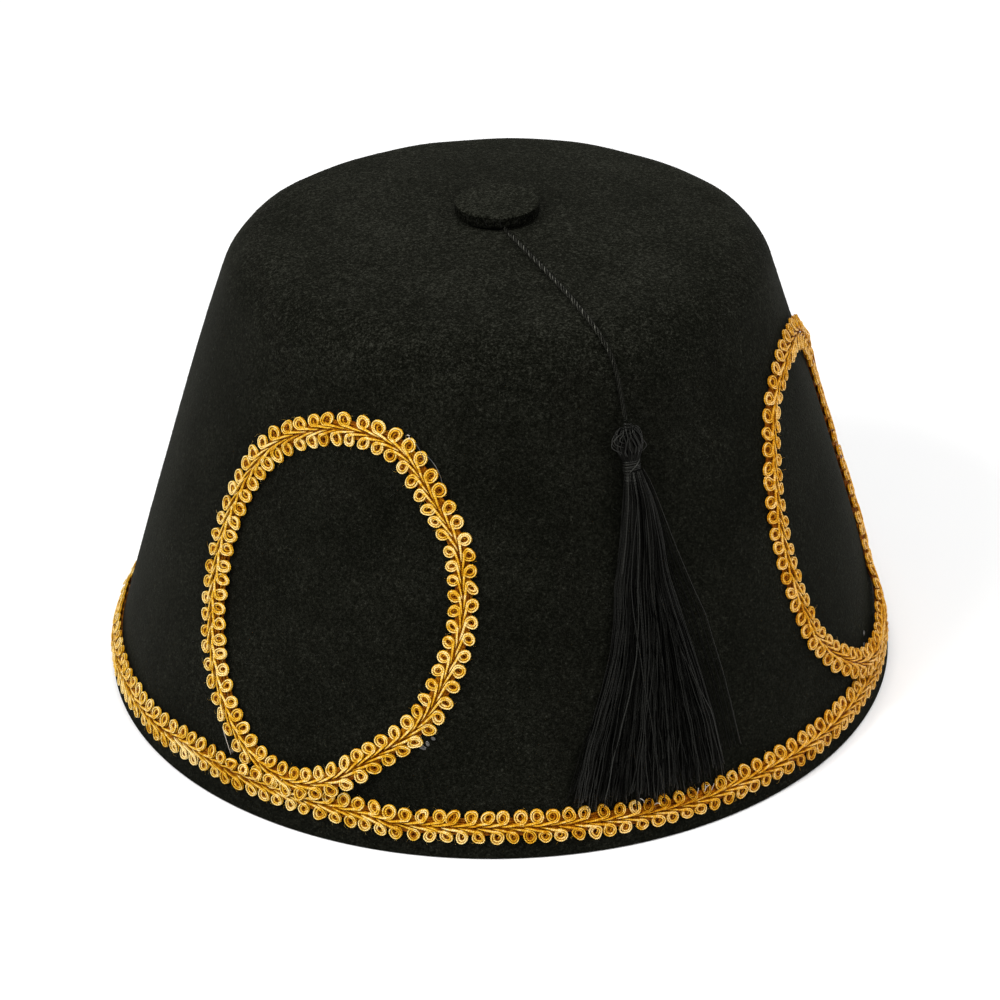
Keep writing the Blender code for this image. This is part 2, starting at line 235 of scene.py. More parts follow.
# Cord from the button to the tassel: azimuth (degrees), run and lift of its middle line
CORD_RADIUS = 0.0005
CORD_TWIST = 0.0054  # length of one whole turn
CORD_STEPS = 20  # in each turn
PLY_SHARE = 0.42  # a ply's radius as a share of the cord's
CORD_PLIES = (0.70, 0.48, 0.64, 0.44)  # how bright each ply is
CORD_ROUTE = (
    (-80.0, 0.1638, 0.0009), (-74.8, 0.1555, 0.0009), (-72.0, 0.1470, 0.0009),
    (-70.3, 0.1372, 0.0009), (-69.4, 0.1293, 0.0009), (-69.0, 0.1214, 0.0009),
    (-68.1, 0.1158, 0.0009), (-67.1, 0.1110, 0.0009), (-66.6, 0.1060, 0.0009),
    (-66.4, 0.1012, 0.0011), (-66.7, 0.0968, 0.0028),
)

# Tassel
TASSEL_AZIMUTH = math.radians(-66.8)
HEAD_RUN = 0.0961
HEAD_LIFT = 0.0035
HEAD_DEPTH = 0.78  # as a share of the head's width
HEAD_THREADS = 32
HEAD_PROFILE = (  # distance below the top of the head, and radius
    (0.0008, 0.0021), (0.0013, 0.0026), (0.0024, 0.0030), (0.0042, 0.0031), (0.0056, 0.0027),
    (0.0067, 0.0021), (0.0078, 0.0016),
)
# Stray loops: side and out where one starts, its two ends below the top, and its bow
HEAD_LOOPS = (
    (-0.0022, 0.0010, 0.0014, 0.0054, -0.0026),
    (-0.0020, 0.0014, 0.0011, 0.0042, -0.0022),
    (-0.0018, 0.0016, 0.0015, 0.0033, -0.0012),
    (-0.0025, -0.0004, 0.0014, 0.0047, -0.0015),
    (0.0023, 0.0010, 0.0060, 0.0034, 0.0010),
)
BINDING_TOP = 0.0069
BINDING_FOOT = 0.0110
BINDING_RADIUS = 0.0017
BINDING_TURNS = 9
BINDING_THREAD = 0.00022
SKIRT_THREADS = 400
SKIRT_LOCKS = 24
SKIRT_TOP_RUN = 0.0860
SKIRT_END_RUN = 0.0122
SKIRT_END_LIMIT = 0.0165
SKIRT_EDGES = (  # run, and azimuth (degrees) of the left and right edge
    (0.0875, -68.0, -65.7), (0.0850, -68.2, -65.4), (0.0790, -68.9, -64.2),
    (0.0700, -70.0, -63.1), (0.0610, -71.5, -62.6), (0.0520, -72.3, -61.5),
    (0.0430, -73.7, -60.4), (0.0340, -75.8, -59.5), (0.0250, -78.0, -58.7),
    (0.0110, -80.6, -58.1),
)
STRAY_EDGE = (  # run, and azimuth (degrees) of the last loose thread
    (0.0860, -65.0), (0.0845, -64.4), (0.0662, -60.5), (0.0492, -56.9), (0.0331, -55.3),
    (0.0110, -54.0),
)
# Loose threads' places, 0 at the skirt's right edge and 1 at the last one
STRAYS = (0.12, 0.25, 0.33, 0.47, 0.60, 0.74, 0.97, 1.0)
THREAD_RADIUS = 0.00012

# Loose ends of sewing thread: azimuth (degrees), run, length, lean (degrees from
# straight up), curl (degrees), how far the end stands off the felt, and how pale it is
LOOSE_THREADS = (
    (-70.2, 0.0095, 0.0027, -8.0, -60.0, 0.0012, 0.7),
    (-68.8, 0.0086, 0.0014, -10.0, 150.0, 0.0008, 0.7),
    (-62.4, 0.0080, 0.0022, -8.0, 20.0, 0.0012, 0.7),
    (-61.2, 0.0082, 0.0024, 6.0, -25.0, 0.0014, 0.7),
    (-61.0, 0.0088, 0.0016, -12.0, 90.0, 0.0010, 0.7),
    (-60.1, 0.0078, 0.0022, -6.0, 30.0, 0.0012, 0.7),
    (-133.5, 0.0180, 0.0066, 139.0, 4.0, 0.0003, 0.7),
    (-106.5, 0.0953, 0.0010, 30.0, 90.0, 0.0010, 0.9),
    (-106.2, 0.0951, 0.0008, 80.0, 60.0, 0.0010, 0.9),
    (-103.5, 0.0922, 0.0080, 122.0, 48.0, 0.0002, 0.1),
    (-105.6, 0.0948, 0.0056, 130.0, 35.0, 0.0002, 0.0),
)
LOOSE_RADIUS = 0.00009
LOOSE_LIFT = 0.0006  # of a thread's near end

# Spots of dried glue: azimuth (degrees), run, width and height
GLUE_SPOTS = (
    (-130.9, 0.0132, 0.0015, 0.0005), (-78.8, 0.0126, 0.0011, 0.0003),
    (-18.4, 0.0166, 0.0012, 0.0003), (-19.6, 0.0142, 0.0016, 0.0004),
    (-23.6, 0.0154, 0.0010, 0.0003), (-101.0, 0.0256, 0.0014, 0.0003),
    (-100.3, 0.0266, 0.0011, 0.0003), (-99.5, 0.0279, 0.0010, 0.0003),
)
GLUE_EDGE = 0.00004  # lift of a spot's edge
GLUE_FOOT = 0.00003  # lift of the middle of its lower side

# Floor and lights
FLOOR_HALF = 6.0
HAT_MIDDLE = 0.05  # height of the point that the lights face
WORLD_LIGHT = 0.40
LIGHTS = (  # name, place, size and power
    ("key", (-0.90, -0.56, 1.00), 0.50, 13.6),
    ("top", (0.05, -0.25, 1.30), 0.90, 11.0),
    ("fill", (0.85, -0.75, 0.60), 0.20, 4.2),
)


# ---- places in space

def unit(vectors):
    """Vectors made one long, along the last axis."""
    return vectors / np.maximum(np.linalg.norm(vectors, axis=-1, keepdims=True), 1e-12)


def smooth_step(value, low, high):
    """Rise smoothly from 0 at low to 1 at high."""
    t = np.clip((value - low) / (high - low), 0.0, 1.0)
    return t * t * (3.0 - 2.0 * t)


def between(first, last, share):
    """The value that lies a share of the way from first to last."""
    return first + (last - first) * share


def xyz(x, y, z):
    """Places or directions from their three parts."""
    return np.stack(np.broadcast_arrays(x, y, z), -1)


def lengths_along(path):
    """How far each point of a path is from its start, along the path."""
    return np.append(0.0, np.cumsum(np.linalg.norm(np.diff(path, axis=0), axis=1)))


def plan_matrix():
    """Stretch a round plan to the oval one, along its own long axis."""
    turn = np.array(Matrix.Rotation(PLAN_TURN, 3, "Z"))
    stretch = np.diag((math.sqrt(PLAN_RATIO), 1.0 / math.sqrt(PLAN_RATIO), 1.0))
    return turn @ stretch @ turn.T


def felt_side(wall_steps, shoulder_steps, dome_steps):
    """Points (radius, height) of the felt's outer side from the rim up to the axis."""
    rim = Vector((RIM_RADIUS, 0.0))
    corner = Vector((CORNER_RADIUS, CORNER_HEIGHT))
    wall = (corner - rim).normalized()
    top = Vector((-1.0, 2.0 * DOME_RISE / CORNER_RADIUS)).normalized()
    reach = SHOULDER_RADIUS * math.tan(wall.angle(top) / 2.0)
    start = corner - wall * reach
    end = corner + top * reach
    inward = Vector((-wall.y, wall.x))
    centre = start + inward * SHOULDER_RADIUS
    points = []
    for i in range(wall_steps + 1):
        t = i / wall_steps
        points.append(rim.lerp(start, t) - inward * 4.0 * WALL_BULGE * t * (1.0 - t))
    first = math.atan2(start.y - centre.y, start.x - centre.x)
    last = math.atan2(end.y - centre.y, end.x - centre.x)
    for i in range(1, shoulder_steps + 1):
        angle = between(first, last, i / shoulder_steps)
        points.append(centre + SHOULDER_RADIUS * Vector((math.cos(angle), math.sin(angle))))
    for i in range(1, dome_steps + 1):
        radius = end.x * (1.0 - i / dome_steps)
        rise = DOME_RISE * (end.x ** 2 - radius ** 2) / CORNER_RADIUS ** 2
        points.append(Vector((radius, end.y + rise)))
    return np.array([tuple(point) for point in points])


PLAN = plan_matrix()
SIDE = felt_side(120, 80, 120)
RUNS = lengths_along(SIDE)


def side_at(run):
    """Radius and height of the felt's outer side at runs."""
    return np.stack((np.interp(run, RUNS, SIDE[:, 0]), np.interp(run, RUNS, SIDE[:, 1])), -1)


def felt_wave(azimuth, run):
    """How far the pressed felt stands proud of its even form."""
    wave = (
        np.sin(5.0 * azimuth + 60.0 * run)
        + 0.7 * np.sin(9.0 * azimuth - 95.0 * run + 1.3)
        + 0.5 * np.sin(17.0 * azimuth + 40.0 * run + 2.1)
    )
    shadow_and_darkening = smooth_step(run, 0.0, 0.012) - smooth_step(run, 0.125, 0.165)
    return FELT_WAVE * wave * shadow_and_darkening


def on_felt(azimuth, run, lift):
    """Places in space of azimuths (radians), runs and lifts."""
    azimuth, run, lift = np.broadcast_arrays(azimuth, run, lift)
    lift = lift + felt_wave(azimuth, run)
    here = side_at(run)
    along = unit(side_at(run + 0.0006) - side_at(run - 0.0006))
    radius = here[..., 0] + lift * along[..., 1]
    height = here[..., 1] - lift * along[..., 0]
    return xyz(radius * np.cos(azimuth), radius * np.sin(azimuth), height) @ PLAN.T


def off_felt(azimuth, run):
    """The direction straight off the felt."""
    return unit(on_felt(azimuth, run, PROBE) - on_felt(azimuth, run, 0.0))


def spline_row(rows, count):
    """Read a smooth line through rows of numbers at evenly spaced places."""
    padded = [rows[0], *rows, rows[-1]]
    spans = len(rows) - 1
    line = []
    for i in range(count + 1):
        place = spans * i / count
        k = min(int(place), spans - 1)
        t = place - k
        p0, p1, p2, p3 = (np.array(row) for row in padded[k:k + 4])
        line.append(
            (2 * t ** 3 - 3 * t ** 2 + 1) * p1
            + (t ** 3 - 2 * t ** 2 + t) * (p2 - p0) / 2.0
            + (3 * t ** 2 - 2 * t ** 3) * p2
            + (t ** 3 - t ** 2) * (p3 - p1) / 2.0
        )
    return np.array(line)


def base_line(t):
    """Azimuth, run and lift of the base braid at parts t of the way round."""
    azimuth = TAU * t
    run = BASE_RUN + BASE_WAVE * np.cos(2.0 * (azimuth - BASE_WAVE_AZIMUTH))
    return azimuth, run, np.zeros_like(t)


def base_over(azimuth):
    """1 where the base braid's upper loops lie over the left oval, 0 elsewhere."""
    azimuth = np.mod(azimuth + np.pi, TAU) - np.pi
    rise = smooth_step(azimuth, UNDER_FROM - UNDER_BLEND, UNDER_FROM + UNDER_BLEND)
    fall = smooth_step(azimuth, UNDER_TO - UNDER_BLEND, UNDER_TO + UNDER_BLEND)
    return rise - fall


def oval_line(shape):
    """A function like base_line for an oval that rides over the base braid."""
    middle, middle_run, half_width, half_height, lean, taper, bow, fill, skew = shape

    def line(t):
        c, s = np.cos(TAU * t), np.sin(TAU * t)
        side = half_width * (c * (1.0 + taper * s + fill * s * s) + bow * s * s)
        side = side + lean * half_height * s
        run = middle_run + half_height * s * (1.0 + skew * c)
        azimuth = math.radians(middle) + side / side_at(run)[..., 0]
        crest_highlight = 1.0 - smooth_step(run, OVAL_CREST_RUN, OVAL_DOWN_RUN)
        crest_highlight = crest_highlight * (1.0 - base_over(azimuth))
        return azimuth, run, OVAL_CREST * crest_highlight

    return line


class Ribbon:
    """The closed middle line of a braid, and the places beside and above it."""

    def __init__(self, line, wander, swell):
        self.azimuth, run, lift = line(np.linspace(0.0, 1.0, LINE_STEPS + 1))
        self.lengths = lengths_along(on_felt(self.azimuth, run, lift))
        self.length = self.lengths[-1]
        sideways = side_at(run)[:, 0] * np.gradient(self.azimuth)
        across = unit(np.stack((-np.gradient(run), sideways), -1))
        self.rows = np.stack((self.azimuth, run, lift, across[:, 0], across[:, 1]))
        self.wander = spline_row(wander, TABLE_STEPS) * (1.0, 0.001)
        self.swell = spline_row(swell, TABLE_STEPS) * (1.0, 1.0, 0.001)

    def azimuth_at(self, length):
        """Azimuth of the middle line at lengths along it."""
        return np.interp(np.mod(length, self.length), self.lengths, self.azimuth)

    def raised(self, length):
        """How far the braid is raised off the felt at lengths along it."""
        return np.interp(np.mod(length, self.length) / self.length, *self.swell[:, ::2].T)

    def place(self, length, across, above):
        """Places in space, and the direction that is up from the felt there."""
        above = above + self.raised(length)
        length = np.mod(length, self.length)
        share = length / self.length
        across = across * np.interp(share, self.swell[:, 0], self.swell[:, 1])
        across = across + np.interp(share, self.wander[:, 0], self.wander[:, 1])
        azimuth, run, lift, sideways, upward = (
            np.interp(length, self.lengths, row) for row in self.rows
        )
        azimuth = azimuth + across * sideways / side_at(run)[..., 0]
        run = run + across * upward
        spots = on_felt(azimuth, run, lift + above)
        return spots, unit(on_felt(azimuth, run, lift + above + PROBE) - spots)


# ---- meshes

class Strands:
    """Collects round strands of thread or fibre, and makes one mesh of them."""

    def __init__(self):
        self.points, self.faces, self.thread, self.tint = [], [], [], []
        self.count = 0

    def add(self, paths, radius, facing, sides=5, tint=0.5):
        """Add strands along paths (strand, step, xyz). facing is a direction off them."""
        paths = paths if paths.ndim == 3 else paths[None]
        total, steps = paths.shape[:2]
        along = unit(np.gradient(paths, axis=1))
        facing = np.broadcast_to(facing, paths.shape)
        first = unit(facing - along * np.sum(along * facing, axis=-1, keepdims=True))
        second = np.cross(along, first)
        turn = TAU * np.arange(sides) / sides
        cos, sin = np.cos(turn), np.sin(turn)
        ring = first[:, :, None] * cos[:, None] + second[:, :, None] * sin[:, None]
        radius = np.broadcast_to(radius, (total, steps))
        points = paths[:, :, None] + radius[..., None, None] * ring
        step_lengths = np.linalg.norm(np.diff(paths, axis=1), axis=-1)
        reach = np.concatenate((np.zeros((total, 1)), np.cumsum(step_lengths, axis=1)), axis=1)
        thread = np.zeros((total, steps, sides, 3))
        thread[..., 0], thread[..., 1] = cos, sin
        thread[..., 2] = 1000.0 * reach[..., None]
        index = self.count + np.arange(total * steps * sides).reshape(total, steps, sides)
        after = np.roll(index, -1, axis=2)
        quads = np.stack((index[:, :-1], after[:, :-1], after[:, 1:], index[:, 1:]), -1)
        self.faces.extend(quads.reshape(-1, 4).tolist())
        self.faces.extend(index[:, 0, ::-1].tolist())
        self.faces.extend(index[:, -1].tolist())
        self.points.append(points.reshape(-1, 3))
        self.thread.append(thread.reshape(-1, 3))
        tint = np.asarray(tint, dtype=float)
        tint = tint.reshape(-1, 1) if tint.ndim < 2 else tint
        tint = np.broadcast_to(tint, (total, steps))
        self.tint.append(np.repeat(tint.reshape(-1), sides))
        self.count += total * steps * sides

    def make(self, name, material):
        """One smooth object, with where each point is on its thread as attributes."""
        obj = mesh_object(name, np.concatenate(self.points), self.faces, material)
        thread = obj.data.attributes.new("thread", "FLOAT_VECTOR", "POINT")
        thread.data.foreach_set("vector", np.concatenate(self.thread).ravel())
        tint = obj.data.attributes.new("tint", "FLOAT", "POINT")
        tint.data.foreach_set("value", np.concatenate(self.tint).ravel())
        return obj


def mesh_object(name, points, faces, material):
    """A smooth object from points and faces."""
    mesh = bpy.data.meshes.new(name)
    mesh.from_pydata(np.asarray(points).tolist(), [], faces)
    mesh.materials.append(material)
    mesh.shade_smooth()
    obj = bpy.data.objects.new(name, mesh)
    bpy.context.scene.collection.objects.link(obj)
    return obj


def shell(rings, first, last):
    """Points and faces of a shell through rings of points, closed at two poles."""
    count, segments = rings.shape[:2]
    index = np.arange(count * segments).reshape(count, segments)
    after = np.roll(index, -1, axis=1)
    faces = np.stack((index[:-1], index[1:], after[1:], after[:-1]), -1).reshape(-1, 4).tolist()
    pole = count * segments
    faces += [[pole, a, b] for a, b in zip(index[0].tolist(), after[0].tolist())]
    faces += [[pole + 1, b, a] for a, b in zip(index[-1].tolist(), after[-1].tolist())]
    return np.concatenate((rings.reshape(-1, 3), [first, last])), faces


def turned(outline, segments):
    """Rings of points of an outline (radius, height) turned about Z."""
    turn = TAU * np.arange(segments) / segments
    radius, height = outline[:, :1], outline[:, 1:]
    return xyz(radius * np.cos(turn), radius * np.sin(turn), height)


def arc(centre, radius, first, last, steps):
    """Points (radius, height) on an arc between two angles in degrees."""
    angle = np.radians(np.linspace(first, last, steps))
    return np.stack((centre[0] + radius * np.cos(angle), centre[1] + radius * np.sin(angle)), -1)


# ---- materials

class Finish:
    """A procedural material on one Principled shader, with short calls for its nodes."""

    def __init__(self, name, **values):
        self.material = bpy.data.materials.new(name)
        self.material.use_nodes = True
        self.nodes = self.material.node_tree.nodes
        self.shader = self.nodes["Principled BSDF"]
        self.place = self.node("TexCoord").outputs["Object"]  # in metres
        for key, value in values.items():
            self.put(self.shader.inputs[key.replace("_", " ")], value)

    def put(self, socket, value):
        """Give a socket a value, or join another node's output to it."""
        if isinstance(value, bpy.types.NodeSocket):
            self.material.node_tree.links.new(value, socket)
        else:
            socket.default_value = value

    def node(self, kind, inputs=(), **settings):
        """Add a node with its settings and inputs."""
        made = self.nodes.new("ShaderNode" + kind)
        for key, value in settings.items():
            setattr(made, key, value)
        for key, value in dict(inputs).items():
            self.put(made.inputs[key], value)
        return made

    def attribute(self, name, output):
        """A value stored in the mesh."""
        return self.node("Attribute", attribute_name=name).outputs[output]

    def tint(self):
        """How pale each strand is."""
        return self.attribute("tint", "Fac")

    def parts(self, vector):
        """The three parts of a vector."""
        return self.node("SeparateXYZ", {0: vector}).outputs

    def noise(self, scale, detail=2.0, roughness=0.5, distortion=0.0, place=None):
        """A noise between 0 and 1, with scale in waves per metre."""
        inputs = {
            "Vector": place or self.place, "Scale": scale, "Detail": detail,
            "Roughness": roughness, "Distortion": distortion,
        }
        return self.node("TexNoise", inputs).outputs[0]

    def stretched(self, turn, stretch):
        """A turned and stretched place, for marks that run in one direction."""
        inputs = {"Vector": self.place, "Rotation": turn, "Scale": stretch}
        return self.node("Mapping", inputs, vector_type="TEXTURE").outputs[0]

    def math(self, operation, a, b=0.0, c=0.0):
        """A Math node."""
        return self.node("Math", {0: a, 1: b, 2: c}, operation=operation).outputs[0]

    def scaled(self, value, gain, base):
        """A base, and a gain of a value."""
        return self.math("MULTIPLY_ADD", value, gain, base)

    def added(self, base, value, gain, middle=0.5):
        """A base, and a gain of what a value has over its middle."""
        return self.scaled(self.math("SUBTRACT", value, middle), gain, base)

    def ramp(self, value, *stops, tone=1.0):
        """A colour or value read from stops (place, red, green, blue), times a tone."""
        made = self.node("ValToRGB", {"Fac": value})
        elements = made.color_ramp.elements
        while len(elements) < len(stops):
            elements.new(0.5)
        for element, (place, *colour) in zip(elements, stops):
            element.position = place
            element.color = (*(part * tone for part in colour), 1.0)
        return made.outputs["Color"]

    def multiplied(self, colour, other):
        """A colour multiplied by another."""
        made = self.node("Mix", data_type="RGBA", blend_type="MULTIPLY")
        sockets = [socket for socket in made.inputs if socket.enabled]
        for socket, value in zip(sockets, (1.0, colour, other)):
            self.put(socket, value)
        return next(socket for socket in made.outputs if socket.enabled)

    def bump(self, height, distance, strength, below=None):
        """A bump of a height in distances, on top of another bump."""
        inputs = {"Height": height, "Distance": distance, "Strength": strength}
        if below is not None:
            inputs["Normal"] = below
        return self.node("Bump", inputs).outputs[0]

    def twist(self, turns_per_mm, ends, noise=0.5, unevenness=0.0):
        """A wave, -1 to 1, of windings round a thread, uneven with a noise."""
        cos, sin, run = self.parts(self.attribute("thread", "Vector"))
        run = self.math("MULTIPLY", run, TAU * turns_per_mm)
        run = self.scaled(noise, unevenness, run)
        return self.math("SINE", self.scaled(self.math("ARCTAN2", sin, cos), ends, run))

    def finish(self, colour=None, roughness=None, normal=None):
        """Join the results to the shader."""
        for key, value in (("Base Color", colour), ("Roughness", roughness), ("Normal", normal)):
            if value is not None:
                self.put(self.shader.inputs[key], value)
        return self.material


def felt_finish(name, tone, shine=0.045):
    """Black pressed wool felt: matted fibres and a soft nap, rougher on top, with painted light
    that makes the top paler and the sides darker.
    """
    tint = (0.97, 1.0, 0.76, 1.0)
    felt = Finish(
        name, Specular_IOR_Level=shine, Specular_Tint=tint,
        Sheen_Weight=0.3 * shine, Sheen_Roughness=0.5, Sheen_Tint=tint,
    )
    patches = felt.noise(55.0, 3.0)
    clumps = felt.noise(1400.0, 3.0, 0.65, 0.4)
    tufts = felt.noise(520.0, 2.0, 0.6, 0.5)
    fibre = 0.0
    for turn in ((0.3, 0.2, 0.4), (1.1, 0.5, 2.0), (0.7, 1.3, 1.1)):
        long_way = felt.stretched(turn, (2.5, 1.0, 1.0))
        fibre = felt.math("MAXIMUM", fibre, felt.noise(2900.0, 2.0, 0.5, 0.4, long_way))
    height = felt.math("MULTIPLY", felt.parts(felt.place)[2], 8.0)
    on_top = felt.ramp(height, (0.75, 0, 0, 0), (0.92, 1, 1, 1))
    shade = felt.added(clumps, fibre, 1.6, 0.62)
    shade = felt.added(shade, tufts, 0.28)
    shade = felt.added(0.5, shade, felt.scaled(on_top, 0.47, 0.92))
    shade = felt.added(shade, patches, 0.35)
    # Painted light and shade: the top is made paler and the sides darker, as the light falls on
    # them.
    shade = felt.math("ADD", shade, felt.scaled(on_top, 0.13, -0.09))
    colour = felt.ramp(
        shade,
        (0.20, 0.0007, 0.0008, 0.0004),
        (0.50, 0.0056, 0.0058, 0.0041),
        (0.85, 0.0240, 0.0245, 0.0190),
        tone=tone,
    )
    normal = felt.bump(clumps, 0.00018, 0.7)
    normal = felt.bump(fibre, 0.00008, 0.8, normal)
    return felt.finish(colour, felt.scaled(clumps, -0.15, 1.0), normal)


def fibre_finish(name):
    """Single wool fibres, most of them black and a few grey."""
    fibre = Finish(name, Specular_IOR_Level=0.2, Roughness=0.7)
    colour = fibre.ramp(
        fibre.scaled(fibre.noise(300.0), 0.3, fibre.tint()),
        (0.30, 0.004, 0.004, 0.003),
        (0.95, 0.012, 0.012, 0.010),
        (1.00, 0.035, 0.035, 0.030),
    )
    return fibre.finish(colour)


def braid_finish(name):
    """Gold rayon gimp: fine windings round each strand, with painted shade in their grooves; paler
    and deeper by turns, partly by the painted highlights and shade that each strand's tint
    carries.

    The gold is a little redder towards the hat's right side.
    """
    braid = Finish(name, Specular_IOR_Level=0.36, Specular_Tint=(1.0, 0.68, 0.09, 1.0))
    uneven = braid.noise(900.0)
    windings = braid.twist(1.9, 1.0, uneven, 5.0)
    grain = braid.noise(4200.0)
    tint = braid.scaled(braid.noise(180.0, 3.0), 0.45, braid.tint())
    tint = braid.scaled(grain, 0.65, tint)
    tint = braid.math("ADD", tint, braid.scaled(uneven, 1.10, -0.52))
    colour = braid.ramp(
        braid.math("MULTIPLY", tint, 0.6),
        (0.20, 0.11, 0.022, 0.0002),
        (0.34, 0.26, 0.072, 0.0004),
        (0.50, 0.52, 0.238, 0.0040),
        (0.66, 0.76, 0.472, 0.0330),
        (0.84, 0.95, 0.785, 0.3700),
    )
    # Painted shade in the grooves between the windings.
    groove_shade = braid.ramp(windings, (0.0, 0.80, 0.68, 0.50), (0.65, 1, 1, 1))
    across = braid.scaled(braid.parts(braid.place)[0], 5.0, 0.5)
    redder = braid.ramp(across, (0.40, 1, 1, 1), (0.90, 1.0, 0.83, 0.70))
    colour = braid.multiplied(braid.multiplied(colour, groove_shade), redder)
    normal = braid.bump(windings, 0.00005, 0.7)
    return braid.finish(colour, braid.scaled(grain, 0.25, 0.30), normal)


def black_thread_finish(name, shine, tone):
    """Black rayon thread, with the twist of its plies."""
    thread = Finish(name, Specular_IOR_Level=shine, Specular_Tint=(1.0, 1.0, 0.90, 1.0))
    grain = thread.noise(2200.0)
    colour = thread.ramp(
        thread.scaled(grain, 0.4, thread.tint()),
        (0.30, 0.0008, 0.0008, 0.0007),
        (0.80, 0.0036, 0.0036, 0.0030),
        (1.00, 0.0140, 0.0140, 0.0125),
        tone=tone,
    )
    normal = thread.bump(thread.twist(1.5, 2.0), 0.00003, 0.4)
    return thread.finish(colour, thread.scaled(grain, 0.30, 0.25), normal)


def cord_finish():
    """Twisted black cord: a painted highlight brightens the crest of each ply."""
    cord = Finish(
        "cord_thread", Specular_IOR_Level=0.12, Specular_Tint=(1.0, 1.0, 0.80, 1.0), Roughness=0.4,
    )
    # Painted highlight: colour brightens where a ply faces out from the cord.
    crest_highlight = cord.parts(cord.attribute("thread", "Vector"))[0]
    crest_highlight = cord.scaled(cord.noise(900.0), 0.7, crest_highlight)
    crest_highlight = cord.scaled(cord.tint(), 0.5, crest_highlight)
    colour = cord.ramp(
        cord.math("MULTIPLY", crest_highlight, 0.5),
        (0.60, 0.0008, 0.0008, 0.0006),
        (0.76, 0.0130, 0.0130, 0.0105),
        (0.90, 0.1700, 0.1700, 0.1420),
    )
    return cord.finish(colour, None, cord.bump(cord.twist(3.0, 2.0), 0.00004, 0.8))


def pale_thread_finish():
    """Loose ends of sewing thread, most of them pale."""
    thread = Finish("pale_thread", Specular_IOR_Level=0.4)
    colour = thread.ramp(
        thread.added(thread.tint(), thread.noise(900.0), 0.5),
        (0.05, 0.030, 0.034, 0.040),
        (0.45, 0.30, 0.26, 0.20),
        (0.90, 0.66, 0.60, 0.54),
    )
    return thread.finish(colour, None, thread.bump(thread.twist(2.4, 2.0), 0.00002, 0.8))


def glue_finish():
    """Small spots of dried glue."""
    glue = Finish("glue", Specular_IOR_Level=0.6, Roughness=0.28)
    colour = glue.ramp(
        glue.noise(1500.0),
        (0.35, 0.020, 0.019, 0.017),
        (0.70, 0.080, 0.076, 0.068),
    )
    return glue.finish(colour)


def floor_finish():
    """A pale matt floor with the faintest unevenness."""
    floor = Finish("floor", Specular_IOR_Level=0.1, Roughness=0.9)
    patches = floor.noise(9.0, 3.0)
    return floor.finish(floor.ramp(patches, (0.3, 0.94, 0.94, 0.94), (0.7, 0.955, 0.955, 0.955)))


# ---- camera and cord

def make_camera():
    """The camera, on the hat's -Y side, looking down at it."""
    camera = bpy.data.objects.new("camera", bpy.data.cameras.new("camera"))
    bpy.context.scene.collection.objects.link(camera)
    cos, sin = math.cos(CAMERA_PITCH), math.sin(CAMERA_PITCH)
    place = Vector((0.0, -CAMERA_DISTANCE * cos, CAMERA_AIM + CAMERA_DISTANCE * sin))
    axes = Matrix(((1.0, 0.0, 0.0), (0.0, sin, -cos), (0.0, cos, sin))).to_4x4()
    rolled = axes @ Matrix.Rotation(CAMERA_ROLL, 4, "Z")
    camera.matrix_world = Matrix.Translation(place) @ rolled
    camera.data.sensor_width = 1000.0 * SENSOR_WIDTH
    camera.data.lens = 1000.0 * FOCAL_LENGTH
    camera.data.clip_start = 0.01
    bpy.context.scene.camera = camera


def make_cord(material):
    """The cord: plies twisted together, from under the button to the tassel."""
    azimuth, run, lift = spline_row(CORD_ROUTE, 600).T
    azimuth = np.radians(azimuth)
    path = on_felt(azimuth, run, lift)
    lengths = lengths_along(path)
    place = np.linspace(0.0, lengths[-1], 1 + int(CORD_STEPS * lengths[-1] / CORD_TWIST))

    def read(points):
        return np.stack([np.interp(place, lengths, column) for column in points.T], -1)

    line = read(path)
    along = unit(np.gradient(line, axis=0))
    up = unit(read(on_felt(azimuth, run, lift + PROBE)) - line)
    up = unit(up - along * np.sum(up * along, axis=1, keepdims=True))
    across = np.cross(along, up)
    strands = Strands()
    ply = CORD_RADIUS * PLY_SHARE
    share = place / lengths[-1]
    # Painted shadow of the button darkens the cord near its start; it is also made darker towards
    # the tassel.
    shadow_and_darkening = 0.62 * smooth_step(share, 0.60, 1.0) + 0.5 * (1.0 - smooth_step(share, 0.0, 0.07))
    for k, tint in enumerate(CORD_PLIES):
        turn = TAU * (place / CORD_TWIST + k / len(CORD_PLIES))
        away = up * np.cos(turn)[:, None] + across * np.sin(turn)[:, None]
        strands.add(line + away * (CORD_RADIUS - ply), ply, away, 10, (tint - shadow_and_darkening)[None])
    return strands.make("cord_plies", material), line, lengths[-1]


# ---- felt pieces

def make_crown(material):
    """The hollow felt crown, pressed slightly uneven, with a softly rounded rim."""
    turn = TAU * np.arange(CROWN_SEGMENTS) / CROWN_SEGMENTS
    outer = np.linspace(RUNS[-1], RIM_ROUND, OUTER_RINGS + 1)[1:, None]
    inner = np.linspace(INNER_START, RUNS[-1], INNER_RINGS + 1)[:-1, None]
    outer, inner = on_felt(turn, outer, 0.0), on_felt(turn, inner, -FELT)
    slope = (RIM_RADIUS - CORNER_RADIUS) / CORNER_HEIGHT
    inner_rim = RIM_RADIUS - FELT * math.hypot(1.0, slope)
    rim = turned(np.concatenate((
        arc((RIM_RADIUS - RIM_ROUND, RIM_ROUND), RIM_ROUND, -18.0, -90.0, 6),
        arc((inner_rim + RIM_ROUND, RIM_ROUND), RIM_ROUND, -90.0, -170.0, 6),
    )), CROWN_SEGMENTS) @ PLAN.T
    top = (0.0, 0.0, SIDE[-1][1])
    under = (0.0, 0.0, SIDE[-1][1] - FELT)
    points, faces = shell(np.concatenate((outer, rim, inner)), top, under)
    return mesh_object("crown_felt", points, faces, material)


